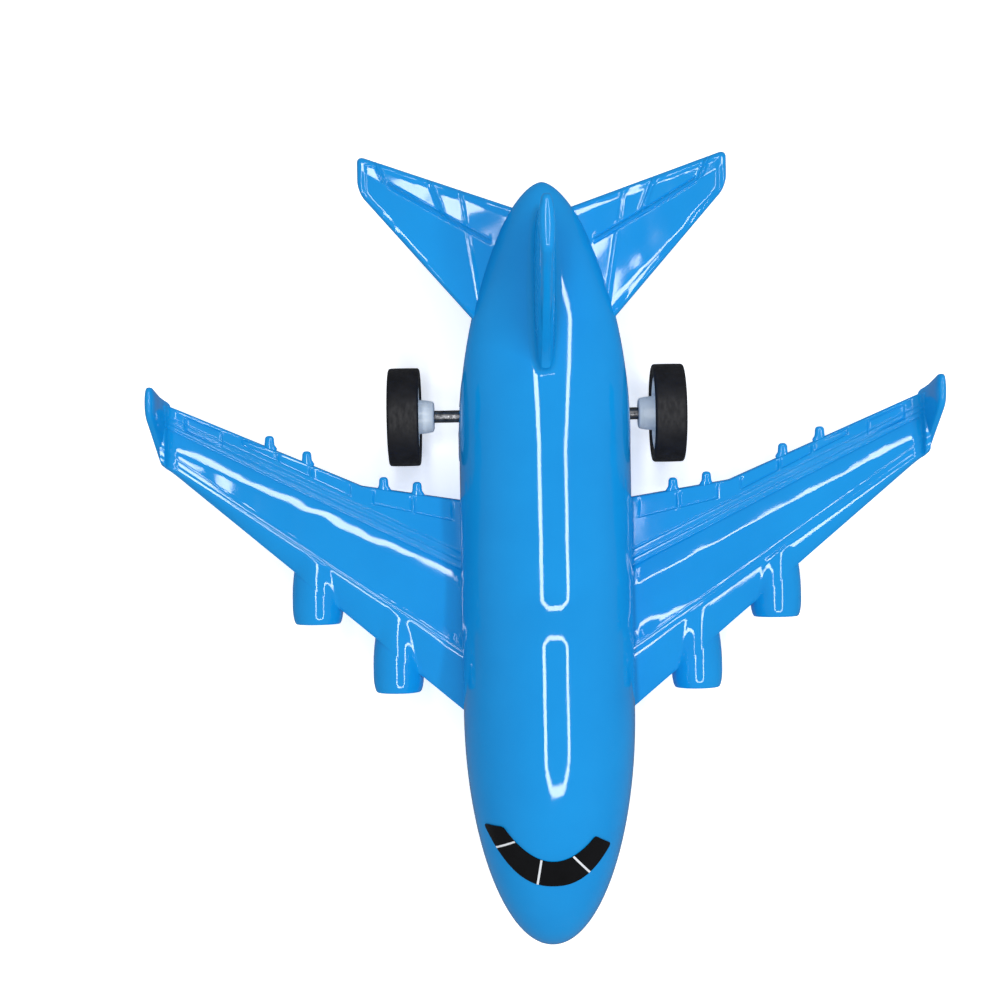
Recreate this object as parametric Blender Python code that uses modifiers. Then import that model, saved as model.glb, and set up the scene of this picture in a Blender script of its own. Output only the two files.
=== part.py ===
"""Push-and-go toy airliner, modelled at real size in metres, +Z up, nose towards -Y.

The origin is on the floor under the middle of the aeroplane.
Two fuselage shells clamp the tailplane and carry the wings.
A friction motor with a flywheel turns the main axle, and a second axle holds two nose wheels.
"""

import math

import bmesh
import bpy
from mathutils import Matrix, Vector

MM = 0.001

# ---------------------------------------------------------------- clearances
CLEARANCE = 0.3 * MM            # between pieces that touch or are cut to fit
SHAFT_CLEARANCE = 0.1 * MM      # radial, between a shaft and its bore
CUT_MARGIN = 2.0 * MM           # how far a cutter runs past what it cuts

# ---------------------------------------------------------------- fuselage
BODY_HALF_WIDTH = 20.4 * MM
BODY_CROWN_Z = 45.0 * MM
BODY_KEEL_Z = 6.0 * MM
SEAM_Z = 24.0 * MM
WALL = 1.8 * MM
NOSE_TIP_Y = -93.4 * MM
NOSE_TIP_Z = 21.0 * MM
NOSE_SHOULDER_Y = -38.0 * MM
TAIL_SHOULDER_Y = 30.0 * MM
TAIL_END_Y = 87.2 * MM
TAIL_END_Z = 35.0 * MM
SEAM_RISE_FROM_Y = 22.0 * MM
SEAM_RISE_TO_Y = 60.0 * MM
KEEL_RISE_FROM_Y = 24.0 * MM
HUMP_RISE = 3.5 * MM
HUMP_FROM_Y = -7.0 * MM
HUMP_FULL_Y = -23.0 * MM
LOWER_SQUARENESS = 2.3          # superellipse exponent under the seam
SECTION_POINTS = 24
BARREL_STEPS = 14               # loft steps between the two shoulders
MIN_SECTION_HALF_WIDTH = 0.9 * MM
SEAM_REACH = 120.0 * MM         # the seam's cutters run from -reach to +reach

# ---------------------------------------------------------------- wings
WING_ROOT_X = BODY_HALF_WIDTH
WING_TIP_X = 92.0 * MM
WING_ROOT_LE_Y = -37.3 * MM
WING_TIP_LE_Y = 24.0 * MM
WING_ROOT_TE_Y = 13.6 * MM
WING_KINK_X = 44.0 * MM
WING_KINK_TE_Y = 17.4 * MM
WING_TIP_TE_Y = 38.2 * MM
WING_UNDERSIDE_Z = 17.4 * MM
WING_DIHEDRAL = math.radians(6.0)
WING_ROOT_THICKNESS = 4.6 * MM
WING_TIP_THICKNESS = 2.6 * MM
WING_SKIN = 1.6 * MM
WING_RIB = 1.2 * MM
WING_RIM = 2.4 * MM
WING_BAYS = (26.0 * MM, 45.5 * MM, 65.0 * MM, 78.0 * MM, 88.0 * MM)
WING_INNER_X = 14.0 * MM        # the plate starts inside the fuselage and is cut back to it
WING_STEPS = 4                  # loft stations each side of the kink
WING_TAB_INNER_X = 11.0 * MM
WING_TAB_FRONT_Y = -24.0 * MM
WING_TAB_REAR_Y = 4.0 * MM
WING_TAB_THICKNESS = 2.2 * MM
WINGLET_HEIGHT = 12.0 * MM
WINGLET_THICKNESS = 2.4 * MM
WINGLET_TOP_LE_Y = 34.0 * MM
WINGLET_TOP_TE_Y = 41.2 * MM
WINGLET_LEAN = 0.6 * MM
FAIRING_XS = (30.8 * MM, 38.8 * MM, 57.0 * MM, 65.8 * MM)
FAIRING_RADIUS = 1.1 * MM
FAIRING_OVERHANG = 2.8 * MM
FAIRING_LENGTH = 7.0 * MM

# ---------------------------------------------------------------- engines
NACELLES = {"inner": 36.2 * MM, "outer": 55.3 * MM}
NACELLE_RADIUS = 6.1 * MM
NACELLE_REACH = {"inner": 9.0 * MM, "outer": 8.4 * MM}     # ahead of the leading edge
NACELLE_LENGTH = 25.0 * MM
NACELLE_TAIL_RADIUS = 2.4 * MM
NACELLE_DROP = 2.9 * MM         # axis below the wing's underside
NACELLE_WALL = 1.2 * MM
INTAKE_DEPTH = 12.0 * MM
NACELLE_STEPS = 20
PEG_RADIUS = 1.2 * MM           # locating peg on each lower cowl
PEG_HEIGHT = 2.4 * MM
PEG_SETBACK = 16.0 * MM         # behind the intake's lip

# ---------------------------------------------------------------- tail
TAILPLANE_ROOT_X = 7.0 * MM
TAILPLANE_LE_Y = 44.5 * MM      # leading edge carried in to TAILPLANE_ROOT_X
TAILPLANE_TE_Y = 81.6 * MM
TAILPLANE_TIP_X = 42.6 * MM
TAILPLANE_TIP_LE_Y = 85.0 * MM
TAILPLANE_TIP_TE_Y = 93.4 * MM
TAILPLANE_THICKNESS = 3.0 * MM
TAILPLANE_TIP_THICKNESS = 2.2 * MM
TAILPLANE_TIP_ROUNDING = 3.0 * MM
TAILPLANE_DIHEDRAL = math.radians(8.0)
FIN_ROOT_LE_Y = 43.0 * MM
FIN_ROOT_TE_Y = 80.0 * MM
FIN_TIP_LE_Y = 66.0 * MM
FIN_TIP_TE_Y = 77.6 * MM
FIN_TOP_Z = 80.0 * MM
FIN_ROOT_THICKNESS = 5.0 * MM
FIN_TIP_THICKNESS = 3.6 * MM
FIN_SINK = 1.0 * MM             # how deep the fin's root runs into the shell wall

# ---------------------------------------------------------------- cockpit decal
DECAL_INNER_HALF = 11.0 * MM
DECAL_OUTER_HALF = 15.2 * MM
DECAL_INNER_Y = -69.9 * MM
DECAL_OUTER_Y = -76.4 * MM
DECAL_INNER_SWEEP = 7.8 * MM
DECAL_OUTER_SWEEP = 14.0 * MM
DECAL_SPAN = (-1.0, 0.86)       # it sits a little to the left of the centreline
DECAL_GAP = 0.1 * MM
DECAL_THICKNESS = 0.2 * MM
DECAL_COLUMNS = 14
DECAL_ROWS = 3

# ---------------------------------------------------------------- main wheels
WHEEL_Y = 34.0 * MM
TYRE_RADIUS = 12.0 * MM
TYRE_WIDTH = 8.0 * MM
TYRE_CORNER = 0.9 * MM
HUB_RADIUS = 9.1 * MM
HUB_WIDTH = 6.6 * MM
HUB_WEB = 2.2 * MM
HUB_RIM = 1.3 * MM
HUB_BOSS_RADIUS = 4.2 * MM
HUB_BOSS_END_RADIUS = 3.7 * MM
HUB_BOSS_LENGTH = 4.0 * MM
HUB_CAP_RADIUS = 3.2 * MM
WHEEL_STANDOFF = 7.8 * MM       # between the fuselage's side and a tyre
TRACK = 2 * (BODY_HALF_WIDTH + WHEEL_STANDOFF) + TYRE_WIDTH
AXLE_OFFSET = -1.7 * MM         # the wheels sit a little to the left of the middle
AXLE_RADIUS = 1.5 * MM
AXLE_INTO_HUB = 1.2 * MM        # how far the axle runs past each wheel's middle
WHEEL_STEPS = 32
AXLE_STEPS = 16

PAD_RADIUS = 11.0 * MM          # round pads on the shell's sides, where the axle comes out
PAD_FACE_X = BODY_HALF_WIDTH + 0.5 * MM
PAD_INNER_X = PAD_FACE_X - 3.9 * MM
PAD_BOTTOM_Z = 9.0 * MM

# ---------------------------------------------------------------- friction motor
GEAR_MODULE = 0.5 * MM
AXLE_GEAR_TEETH = 26
IDLER_PINION_TEETH = 10
IDLER_WHEEL_TEETH = 24
FLYWHEEL_PINION_TEETH = 10
PRESSURE_ANGLE = math.radians(20.0)
ADDENDUM = 0.85                 # in modules
DEDENDUM = 1.3
TOOTH_THINNING = 0.26           # in modules, shared by both flanks
GEAR_CENTRE_MARGIN = 0.08 * MM
IDLER_ANGLE = math.radians(130.0)      # from +Y, seen from -X
FLYWHEEL_ANGLE = math.radians(80.0)
SHAFT_RADIUS = 1.0 * MM
CASE_X = -8.2 * MM              # left outer face of the gear case
CASE_WALL = 1.2 * MM
GEAR_SIDE_GAP = 0.6 * MM
AXLE_GEAR_WIDTH = 3.4 * MM
IDLER_WHEEL_WIDTH = 2.2 * MM
GEAR_TIP_GAP = 0.8 * MM
CASE_STEPS = 36
FLYWHEEL_RADIUS = 11.0 * MM
FLYWHEEL_WIDTH = 5.0 * MM
FLYWHEEL_DISH = 1.0 * MM
EAR_LENGTH = 6.4 * MM
EAR_WIDTH = 4.4 * MM
EAR_THICKNESS = 2.0 * MM
EAR_Z = 22.0 * MM               # top face of the ears

# ---------------------------------------------------------------- nose wheels
NOSE_WHEEL_Y = -62.0 * MM
NOSE_WHEEL_RADIUS = 6.0 * MM
NOSE_WHEEL_WIDTH = 3.2 * MM
NOSE_PIN_RADIUS = 1.0 * MM
NOSE_LUG_HALF_WIDTH = 3.6 * MM
NOSE_LUG_HALF_LENGTH = 2.6 * MM
NOSE_SIDE_GAP = 0.5 * MM
WELL_CLEARANCE = 0.9 * MM

# ---------------------------------------------------------------- fasteners
SCREW_RADIUS = 1.3 * MM
SCREW_HEAD_RADIUS = 2.6 * MM
SCREW_HEAD_HEIGHT = 1.6 * MM
SCREW_HOLE_CLEARANCE = 0.2 * MM
SCREW_RECESS = 0.9 * MM
SHELL_SCREW_YS = (-46.0 * MM, -4.0 * MM, 56.0 * MM)
SHELL_POST_RADIUS = 4.4 * MM
SHELL_BOSS_RADIUS = 3.2 * MM
SHELL_SCREW_GRIP = 6.0 * MM     # post left above the screw's head
SHELL_SCREW_BITE = 7.0 * MM     # screw inside the upper boss
WING_SCREW_X = 14.6 * MM
WING_SCREW_Y = -14.0 * MM
SMALL_POST_RADIUS = 2.6 * MM
SMALL_SCREW_LENGTH = 6.0 * MM
SCREW_STEPS = 12

# ---------------------------------------------------------------- derived places
NOSE_LENGTH = NOSE_SHOULDER_Y - NOSE_TIP_Y
TAIL_LENGTH = TAIL_END_Y - TAIL_SHOULDER_Y
AXLE_POINT = (WHEEL_Y, TYRE_RADIUS)
AXLE_GEAR_RADIUS = AXLE_GEAR_TEETH * GEAR_MODULE / 2
IDLER_PINION_RADIUS = IDLER_PINION_TEETH * GEAR_MODULE / 2
IDLER_WHEEL_RADIUS = IDLER_WHEEL_TEETH * GEAR_MODULE / 2
FLYWHEEL_PINION_RADIUS = FLYWHEEL_PINION_TEETH * GEAR_MODULE / 2
TIP = ADDENDUM * GEAR_MODULE


def polar(point, radius, angle):
    """The (y, z) point at radius and angle from another (y, z) point."""
    return (point[0] + radius * math.cos(angle), point[1] + radius * math.sin(angle))


IDLER_POINT = polar(
    AXLE_POINT, AXLE_GEAR_RADIUS + IDLER_PINION_RADIUS + GEAR_CENTRE_MARGIN, IDLER_ANGLE
)
FLYWHEEL_POINT = polar(
    IDLER_POINT, IDLER_WHEEL_RADIUS + FLYWHEEL_PINION_RADIUS + GEAR_CENTRE_MARGIN, FLYWHEEL_ANGLE
)
AXLE_GEAR_X = CASE_X + CASE_WALL + GEAR_SIDE_GAP
IDLER_WHEEL_X = AXLE_GEAR_X + AXLE_GEAR_WIDTH + GEAR_SIDE_GAP
CASE_END_X = IDLER_WHEEL_X + IDLER_WHEEL_WIDTH + GEAR_SIDE_GAP + CASE_WALL
CASE_SPLIT_X = (CASE_X + CASE_END_X) / 2
FLYWHEEL_X = CASE_END_X + GEAR_SIDE_GAP
EAR_X = (CASE_X + CASE_SPLIT_X) / 2


# ================================================================ scene helpers
def clear_scene():
    for obj in list(bpy.data.objects):
        bpy.data.objects.remove(obj)


def make_collection(name):
    collection = bpy.data.collections.new(name)
    bpy.context.scene.collection.children.link(collection)
    return collection


def make_material(name, colour, roughness, metallic=0.0):
    material = bpy.data.materials.new(name)
    material.use_nodes = True
    shader = material.node_tree.nodes["Principled BSDF"]
    shader.inputs["Base Color"].default_value = (*colour, 1.0)
    shader.inputs["Roughness"].default_value = roughness
    shader.inputs["Metallic"].default_value = metallic
    return material


clear_scene()
AEROPLANE = make_collection("toy_airplane")
BLUE = make_material("blue_plastic", (0.02, 0.33, 0.80), 0.15)
RUBBER = make_material("black_rubber", (0.012, 0.012, 0.015), 0.65)
GREY = make_material("grey_plastic", (0.40, 0.44, 0.50), 0.40)
STEEL = make_material("steel", (0.60, 0.60, 0.60), 0.30, 1.0)
WHITE = make_material("white_plastic", (0.80, 0.80, 0.76), 0.45)
BLACK = make_material("black_plastic", (0.02, 0.02, 0.02), 0.40)
DECAL = make_material("window_print", (0.004, 0.004, 0.005), 0.12)


def link(name, mesh):
    obj = bpy.data.objects.new(name, mesh)
    AEROPLANE.objects.link(obj)
    return obj


def evaluated_mesh(obj):
    """The object's mesh with its modifiers, or its curve's surface, as a new mesh."""
    graph = bpy.context.evaluated_depsgraph_get()
    return bpy.data.meshes.new_from_object(obj.evaluated_get(graph))


def baked(obj):
    """Replaces an object by a plain mesh object of what it evaluates to."""
    mesh = evaluated_mesh(obj)
    mesh.transform(obj.matrix_world)
    name = obj.name
    bpy.data.objects.remove(obj)
    return link(name, mesh)


def weld(mesh, distance=1e-6):
    work = bmesh.new()
    work.from_mesh(mesh)
    bmesh.ops.remove_doubles(work, verts=work.verts, dist=distance)
    bmesh.ops.recalc_face_normals(work, faces=work.faces)
    work.to_mesh(mesh)
    work.free()


def combine(obj, operation, *tools):
    """Joins or cuts obj with each tool in turn by an exact Boolean, and removes the tools."""
    for tool in tools:
        modifier = obj.modifiers.new(tool.name, "BOOLEAN")
        modifier.operation = operation
        modifier.object = tool
        modifier.solver = "EXACT"
    bpy.context.view_layer.update()
    mesh = evaluated_mesh(obj)
    obj.modifiers.clear()
    obj.data = mesh
    for tool in tools:
        bpy.data.objects.remove(tool)
    return obj


def join(obj, *tools):
    return combine(obj, "UNION", *tools)


def cut(obj, *tools):
    return combine(obj, "DIFFERENCE", *tools)


def copy_of(obj, name):
    return link(name, obj.data.copy())


def mirrored(obj, name):
    """A copy of obj on the other side of the plane x = 0."""
    mesh = obj.data.copy()
    mesh.transform(Matrix.Diagonal((-1.0, 1.0, 1.0, 1.0)))
    mesh.flip_normals()
    return link(name, mesh)


def finish(obj, material, sharp_angle=math.radians(35.0)):
    """Gives a finished piece its material and smooth shading between sharp edges."""
    obj.data.materials.clear()
    obj.data.materials.append(material)
    obj.data.shade_smooth()
    obj.data.set_sharp_from_angle(angle=sharp_angle)
    return obj


# ================================================================ shape helpers
def box(name, low, high):
    """A box between two corners."""
    size = Vector(high) - Vector(low)
    centre = (Vector(high) + Vector(low)) / 2
    bpy.ops.mesh.primitive_cube_add(size=1.0, location=centre)
    obj = bpy.context.object
    obj.name = name
    obj.data.transform(Matrix.Diagonal((*size, 1.0)))
    for collection in list(obj.users_collection):
        collection.objects.unlink(obj)
    AEROPLANE.objects.link(obj)
    bpy.context.view_layer.update()
    return baked(obj)


AXES = {
    "X": Matrix.Rotation(math.radians(90.0), 4, "Y"),
    "Y": Matrix.Rotation(math.radians(-90.0), 4, "X"),
    "Z": Matrix.Identity(4),
}


def cylinder(name, axis, radius, start, length, steps, end_radius=None):
    """A cylinder or cone along an axis, from its start point."""
    work = bmesh.new()
    bmesh.ops.create_cone(
        work,
        cap_ends=True,
        segments=steps,
        radius1=radius,
        radius2=radius if end_radius is None else end_radius,
        depth=length,
    )
    mesh = bpy.data.meshes.new(name)
    work.to_mesh(mesh)
    work.free()
    mesh.transform(Matrix.Translation((0, 0, length / 2)))
    mesh.transform(AXES[axis])
    mesh.transform(Matrix.Translation(start))
    return link(name, mesh)


def turned(name, axis, profile, place, steps, closed=False):
    """A turned solid: (radius, height) points down the outside, spun about an axis through place."""
    mesh = bpy.data.meshes.new(name)
    count = len(profile)
    edges = [(i, i + 1) for i in range(count - 1)]
    if closed:
        edges.append((count - 1, 0))
    mesh.from_pydata([(r, 0.0, h) for r, h in profile], edges, [])
    obj = link(name, mesh)
    screw = obj.modifiers.new("turn", "SCREW")
    screw.steps = steps
    screw.render_steps = steps
    screw.use_merge_vertices = True
    screw.merge_threshold = 1e-6
    bpy.context.view_layer.update()
    obj = baked(obj)
    obj.data.transform(AXES[axis])
    obj.data.transform(Matrix.Translation(place))
    weld(obj.data)
    return obj


def loft(name, rings):
    """A closed solid through rings of equal length, capped at both ends."""
    work = bmesh.new()
    rows = [[work.verts.new(point) for point in ring] for ring in rings]
    count = len(rows[0])
    for near, far in zip(rows, rows[1:]):
        for i in range(count):
            j = (i + 1) % count
            work.faces.new((near[i], near[j], far[j], far[i]))
    work.faces.new(rows[0])
    work.faces.new(rows[-1])
    bmesh.ops.recalc_face_normals(work, faces=work.faces)
    # Fixed triangles, so that a grown copy of a loft is split in the same way as the loft.
    bmesh.ops.triangulate(work, faces=work.faces, quad_method="FIXED")
    mesh = bpy.data.meshes.new(name)
    work.to_mesh(mesh)
    work.free()
    return link(name, mesh)


def plate(name, outlines, low_x, high_x):
    """A flat plate across X whose (y, z) outline, and any holes, are closed lines of points."""
    curve = bpy.data.curves.new(name, "CURVE")
    curve.dimensions = "2D"
    curve.fill_mode = "BOTH"
    curve.extrude = (high_x - low_x) / 2
    for outline in outlines:
        spline = curve.splines.new("POLY")
        spline.points.add(len(outline) - 1)
        for point, (y, z) in zip(spline.points, outline):
            point.co = (y, z, 0.0, 1.0)
        spline.use_cyclic_u = True
    obj = link(name, curve)
    bpy.context.view_layer.update()
    obj = baked(obj)
    obj.data.transform(Matrix(((0, 0, 1, 0), (1, 0, 0, 0), (0, 1, 0, 0), (0, 0, 0, 1))))
    obj.data.transform(Matrix.Translation(((low_x + high_x) / 2, 0, 0)))
    weld(obj.data)
    return obj


def circle_points(point, radius, steps, start=0.0):
    """(y, z) points round a circle."""
    return [polar(point, radius, start + 2 * math.pi * i / steps) for i in range(steps)]


def hull_outline(circles, steps):
    """The convex outline round some ((y, z), radius) circles."""
    points = sorted({p for centre, radius in circles for p in circle_points(centre, radius, steps)})

    def half(ordered):
        chain = []
        for p in ordered:
            while len(chain) > 1:
                a, b = chain[-2], chain[-1]
                if (b[0] - a[0]) * (p[1] - a[1]) - (b[1] - a[1]) * (p[0] - a[0]) > 0:
                    break
                chain.pop()
            chain.append(p)
        return chain[:-1]

    return half(points) + half(points[::-1])


def mix(a, b, t):
    return a + (b - a) * t


def smooth_step(t):
    t = min(1.0, max(0.0, t))
    return t * t * (3.0 - 2.0 * t)


# ================================================================ fuselage form
def nose_share(y):
    """0 behind the nose's shoulder and 1 at its tip."""
    return min(1.0, max(0.0, (NOSE_SHOULDER_Y - y) / NOSE_LENGTH))


def tail_share(y):
    """0 ahead of the tail's shoulder and 1 at its end."""
    return min(1.0, max(0.0, (y - TAIL_SHOULDER_Y) / TAIL_LENGTH))


def half_width(y):
    nose = (1.0 - nose_share(y) ** 2) ** 0.55
    tail = (1.0 - tail_share(y) ** 1.6) ** 0.59
    return BODY_HALF_WIDTH * nose * tail


def seam_z(y):
    """Height of the widest line, where the two shells meet."""
    nose = (NOSE_TIP_Z - SEAM_Z) * nose_share(y) ** 2
    rise = smooth_step((y - SEAM_RISE_FROM_Y) / (SEAM_RISE_TO_Y - SEAM_RISE_FROM_Y))
    return SEAM_Z + nose + (TAIL_END_Z - SEAM_Z) * rise


def crown_z(y):
    """Height of the top line, with the raised upper deck behind the nose."""
    if y < NOSE_SHOULDER_Y:
        top = BODY_CROWN_Z + hump(y)
        return mix(NOSE_TIP_Z, top, (1.0 - nose_share(y) ** 2) ** 0.55)
    full = BODY_CROWN_Z + hump(y)
    return mix(TAIL_END_Z, full, (1.0 - tail_share(y) ** 3) ** 0.5)


def hump(y):
    return HUMP_RISE * smooth_step((HUMP_FROM_Y - y) / (HUMP_FROM_Y - HUMP_FULL_Y))


def keel_z(y):
    """Height of the belly line, which sweeps up under the tail."""
    if y < NOSE_SHOULDER_Y:
        return mix(NOSE_TIP_Z, BODY_KEEL_Z, (1.0 - nose_share(y) ** 2.4) ** 0.6)
    share = max(0.0, (y - KEEL_RISE_FROM_Y) / (TAIL_END_Y - KEEL_RISE_FROM_Y))
    return mix(TAIL_END_Z, BODY_KEEL_Z, (1.0 - min(1.0, share) ** 1.3) ** 0.75)


def section(y, inset):
    """The fuselage's ring of points at y, moved inwards by inset."""
    wide = half_width(y) - inset
    middle = seam_z(y)
    up = crown_z(y) - inset - middle
    down = middle - keel_z(y) - inset
    ring = []
    for i in range(SECTION_POINTS):
        angle = 2 * math.pi * i / SECTION_POINTS
        c, s = math.cos(angle), math.sin(angle)
        if s >= 0:
            ring.append((wide * c, y, middle + up * s))
        else:
            x = math.copysign(abs(c) ** (2 / LOWER_SQUARENESS), c)
            z = abs(s) ** (2 / LOWER_SQUARENESS)
            ring.append((wide * x, y, middle - down * z))
    return ring


def body_stations(inset):
    """Y places of the sections, closer together towards both ends."""
    ends = [math.sin(math.radians(a)) for a in (12, 25, 37, 48, 58, 67, 75, 81, 84.5, 86.6)]
    nose = [NOSE_SHOULDER_Y - NOSE_LENGTH * s for s in ends]
    tail = [TAIL_SHOULDER_Y + TAIL_LENGTH * s for s in ends]
    steps = BARREL_STEPS
    middle = [mix(NOSE_SHOULDER_Y, TAIL_SHOULDER_Y, i / steps) for i in range(steps + 1)]
    wall = max(inset, 0.0)
    return [
        y
        for y in sorted(nose + middle + tail)
        if NOSE_TIP_Y + wall <= y <= TAIL_END_Y - wall
        and half_width(y) - inset > MIN_SECTION_HALF_WIDTH
    ]


def body_solid(name, inset=0.0):
    """The fuselage as one closed solid, inset by a wall or grown by a negative inset."""
    return loft(name, [section(y, inset) for y in body_stations(inset)])


def surface_z(x, y):
    """Height of the fuselage's upper surface above a point."""
    share = min(1.0, abs(x) / half_width(y))
    return seam_z(y) + (crown_z(y) - seam_z(y)) * math.sqrt(1.0 - share * share)


# ================================================================ fuselage shells
def seam_line(offset, slot):
    """(y, z) points along the seam, shifted by offset, with the slot's outline let into it."""
    reach, steps = SEAM_REACH, 40
    ys = [mix(-reach, reach, i / steps) for i in range(steps + 1)]
    near, far = slot[0][0], slot[-1][0]
    before = [(y, seam_z(y) + offset) for y in ys if y < near] + [(near, seam_z(near) + offset)]
    after = [(far, seam_z(far) + offset)] + [(y, seam_z(y) + offset) for y in ys if y > far]
    return before + slot + after


def above_seam():
    """Cutter for the lower shell: all above the seam, and an open slot round the axle."""
    radius, steps = AXLE_RADIUS + 2 * CLEARANCE, 8
    slot = [polar(AXLE_POINT, radius, math.pi * (1.0 + i / steps)) for i in range(steps + 1)]
    line = seam_line(-CLEARANCE / 2, slot)
    roof = FIN_TOP_Z + CUT_MARGIN
    wide = PAD_FACE_X + CUT_MARGIN
    return plate("above_seam", [line + [(SEAM_REACH, roof), (-SEAM_REACH, roof)]], -wide, wide)


def below_seam():
    """Cutter for the upper shell: all below the seam but the tongue that fills the axle's slot."""
    half = AXLE_RADIUS + CLEARANCE
    bottom = AXLE_POINT[1] + AXLE_RADIUS + 2 * CLEARANCE
    line = seam_line(CLEARANCE / 2, [(WHEEL_Y - half, bottom), (WHEEL_Y + half, bottom)])
    floor = -CUT_MARGIN
    wide = BODY_HALF_WIDTH + CUT_MARGIN
    return plate("below_seam", [line + [(SEAM_REACH, floor), (-SEAM_REACH, floor)]], -wide, wide)


def fin():
    """The fin: rounded slabs that shrink and sweep back upwards."""
    rings = []
    root_z = BODY_CROWN_Z - WALL - FIN_SINK
    for t in (0.0, 0.12, 0.5, 0.9, 0.98, 1.0):
        z = mix(root_z, FIN_TOP_Z, t)
        front = mix(FIN_ROOT_LE_Y, FIN_TIP_LE_Y, t)
        back = mix(FIN_ROOT_TE_Y, FIN_TIP_TE_Y, t)
        thick = mix(FIN_ROOT_THICKNESS, FIN_TIP_THICKNESS, t)
        if t == 1.0:
            front, back, thick = front + 1.2 * MM, back - 1.2 * MM, thick * 0.5
        half, middle = thick / 2, (front + back) / 2
        length = back - front
        side = [(0.0, 0.0), (0.55, 0.035), (0.9, 0.12), (1.0, 0.3), (0.95, 0.7), (0.6, 0.95), (0.0, 1.0)]
        right = [(half * a, front + length * b, z) for a, b in side]
        left = [(-x, y, height) for x, y, height in right[-2:0:-1]]
        rings.append(right + left)
    return loft("fin", rings)


def axle_pads():
    """Round pads on the lower shell's sides, through which the main axle passes."""
    pads = []
    for side, sign in (("left", -1), ("right", 1)):
        pad = cylinder(f"pad_{side}", "X", PAD_RADIUS, (0, *AXLE_POINT), PAD_FACE_X - PAD_INNER_X, 32)
        pad.data.transform(Matrix.Translation((PAD_INNER_X if sign > 0 else -PAD_FACE_X, 0, 0)))
        reach = 2 * PAD_RADIUS
        low = (-PAD_FACE_X - CUT_MARGIN, WHEEL_Y - reach, PAD_BOTTOM_Z - reach)
        high = (PAD_FACE_X + CUT_MARGIN, WHEEL_Y + reach, PAD_BOTTOM_Z)
        pads.append(cut(pad, box("under_pad", low, high)))
    return pads


def lower_post(name, x, y, top_z, radius):
    """A round post standing in the lower shell's wall, up to top_z."""
    share = min(1.0, abs(x) / half_width(y)) ** LOWER_SQUARENESS
    floor = seam_z(y) - (seam_z(y) - keel_z(y)) * (1.0 - share) ** (1 / LOWER_SQUARENESS)
    start = floor + WALL / 2 + (0.5 * MM if x else 0.0)
    return cylinder(name, "Z", radius, (x, y, start), top_z - start, 16)


def shell_screw_head_z(y):
    """Underside of the shell screw's head seat at y, inside its post."""
    return seam_z(y) - CLEARANCE / 2 - SHELL_SCREW_GRIP


def build_shells():
    whole = cut(body_solid("whole"), body_solid("inside", WALL))
    upper = copy_of(whole, "upper_shell")
    lower = whole
    lower.name = "lower_shell"
    cut(upper, below_seam())
    join(lower, *axle_pads())
    cut(lower, above_seam())

    join(upper, fin())
    bosses, pilots, posts, bores = [], [], [], []
    for i, y in enumerate(SHELL_SCREW_YS):
        foot = seam_z(y) + CLEARANCE / 2
        roof = crown_z(y) - WALL / 2
        bosses.append(cylinder(f"boss{i}", "Z", SHELL_BOSS_RADIUS, (0, y, foot), roof - foot, 16))
        pilot = SCREW_RADIUS + SHAFT_CLEARANCE
        deep = SHELL_SCREW_BITE + CLEARANCE
        start = (0, y, foot - CUT_MARGIN)
        pilots.append(cylinder(f"pilot{i}", "Z", pilot, start, deep + CUT_MARGIN, SCREW_STEPS))
        seat = shell_screw_head_z(y)
        posts.append(lower_post(f"post{i}", 0.0, y, seam_z(y) - CLEARANCE / 2, SHELL_POST_RADIUS))
        through = SCREW_RADIUS + SCREW_HOLE_CLEARANCE
        bores.append(cylinder(f"bore{i}", "Z", through, (0, y, seat - CUT_MARGIN), 30 * MM, SCREW_STEPS))
        wide = SCREW_HEAD_RADIUS + SCREW_HOLE_CLEARANCE
        low = keel_z(y) - CUT_MARGIN
        bores.append(cylinder(f"counterbore{i}", "Z", wide, (0, y, low), seat - low, 16))
    join(upper, *bosses)
    cut(upper, *pilots)
    join(lower, *posts)
    cut(lower, *bores)
    fit_motor(lower)
    fit_wings(lower)
    fit_nose_wheels(lower)
    return upper, lower


def case_hole(name):
    """The opening in the belly that the gear case hangs through."""
    reach = AXLE_GEAR_RADIUS + TIP + GEAR_TIP_GAP + CASE_WALL + 2 * CLEARANCE
    low = (CASE_X - 2 * CLEARANCE, WHEEL_Y - reach, -CUT_MARGIN)
    high = (CASE_END_X + 2 * CLEARANCE, WHEEL_Y + reach, SEAM_Z - 2 * WALL)
    return box(name, low, high)


def ear_places():
    """Y places of the gear case's two mounting screws, clear of its walls over the screws' height."""
    outline = hull_outline(case_circles(CASE_WALL), CASE_STEPS)
    low, high = EAR_Z - EAR_THICKNESS - SMALL_SCREW_LENGTH, EAR_Z + SCREW_HEAD_HEIGHT
    ys = [y for y, z in outline if low < z < high]
    for level in (low, high):
        for (y0, z0), (y1, z1) in zip(outline, outline[1:] + outline[:1]):
            if min(z0, z1) < level <= max(z0, z1):
                ys.append(mix(y0, y1, (level - z0) / (z1 - z0)))
    return min(ys) - EAR_LENGTH / 2, max(ys) + EAR_LENGTH / 2


def fit_motor(lower):
    """Posts for the gear case's ears, and its opening."""
    posts, pilots = [], []
    for i, y in enumerate(ear_places()):
        top = EAR_Z - EAR_THICKNESS - CLEARANCE
        posts.append(lower_post(f"motor_post{i}", EAR_X, y, top, SMALL_POST_RADIUS))
        pilots.append(small_pilot(f"motor_pilot{i}", EAR_X, y, top))
    join(lower, *posts)
    cut(lower, *pilots, case_hole("case_hole"))


def small_pilot(name, x, y, top):
    radius = SCREW_RADIUS + SHAFT_CLEARANCE
    start = (x, y, top - SMALL_SCREW_LENGTH)
    return cylinder(name, "Z", radius, start, SMALL_SCREW_LENGTH + CUT_MARGIN, SCREW_STEPS)


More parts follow.
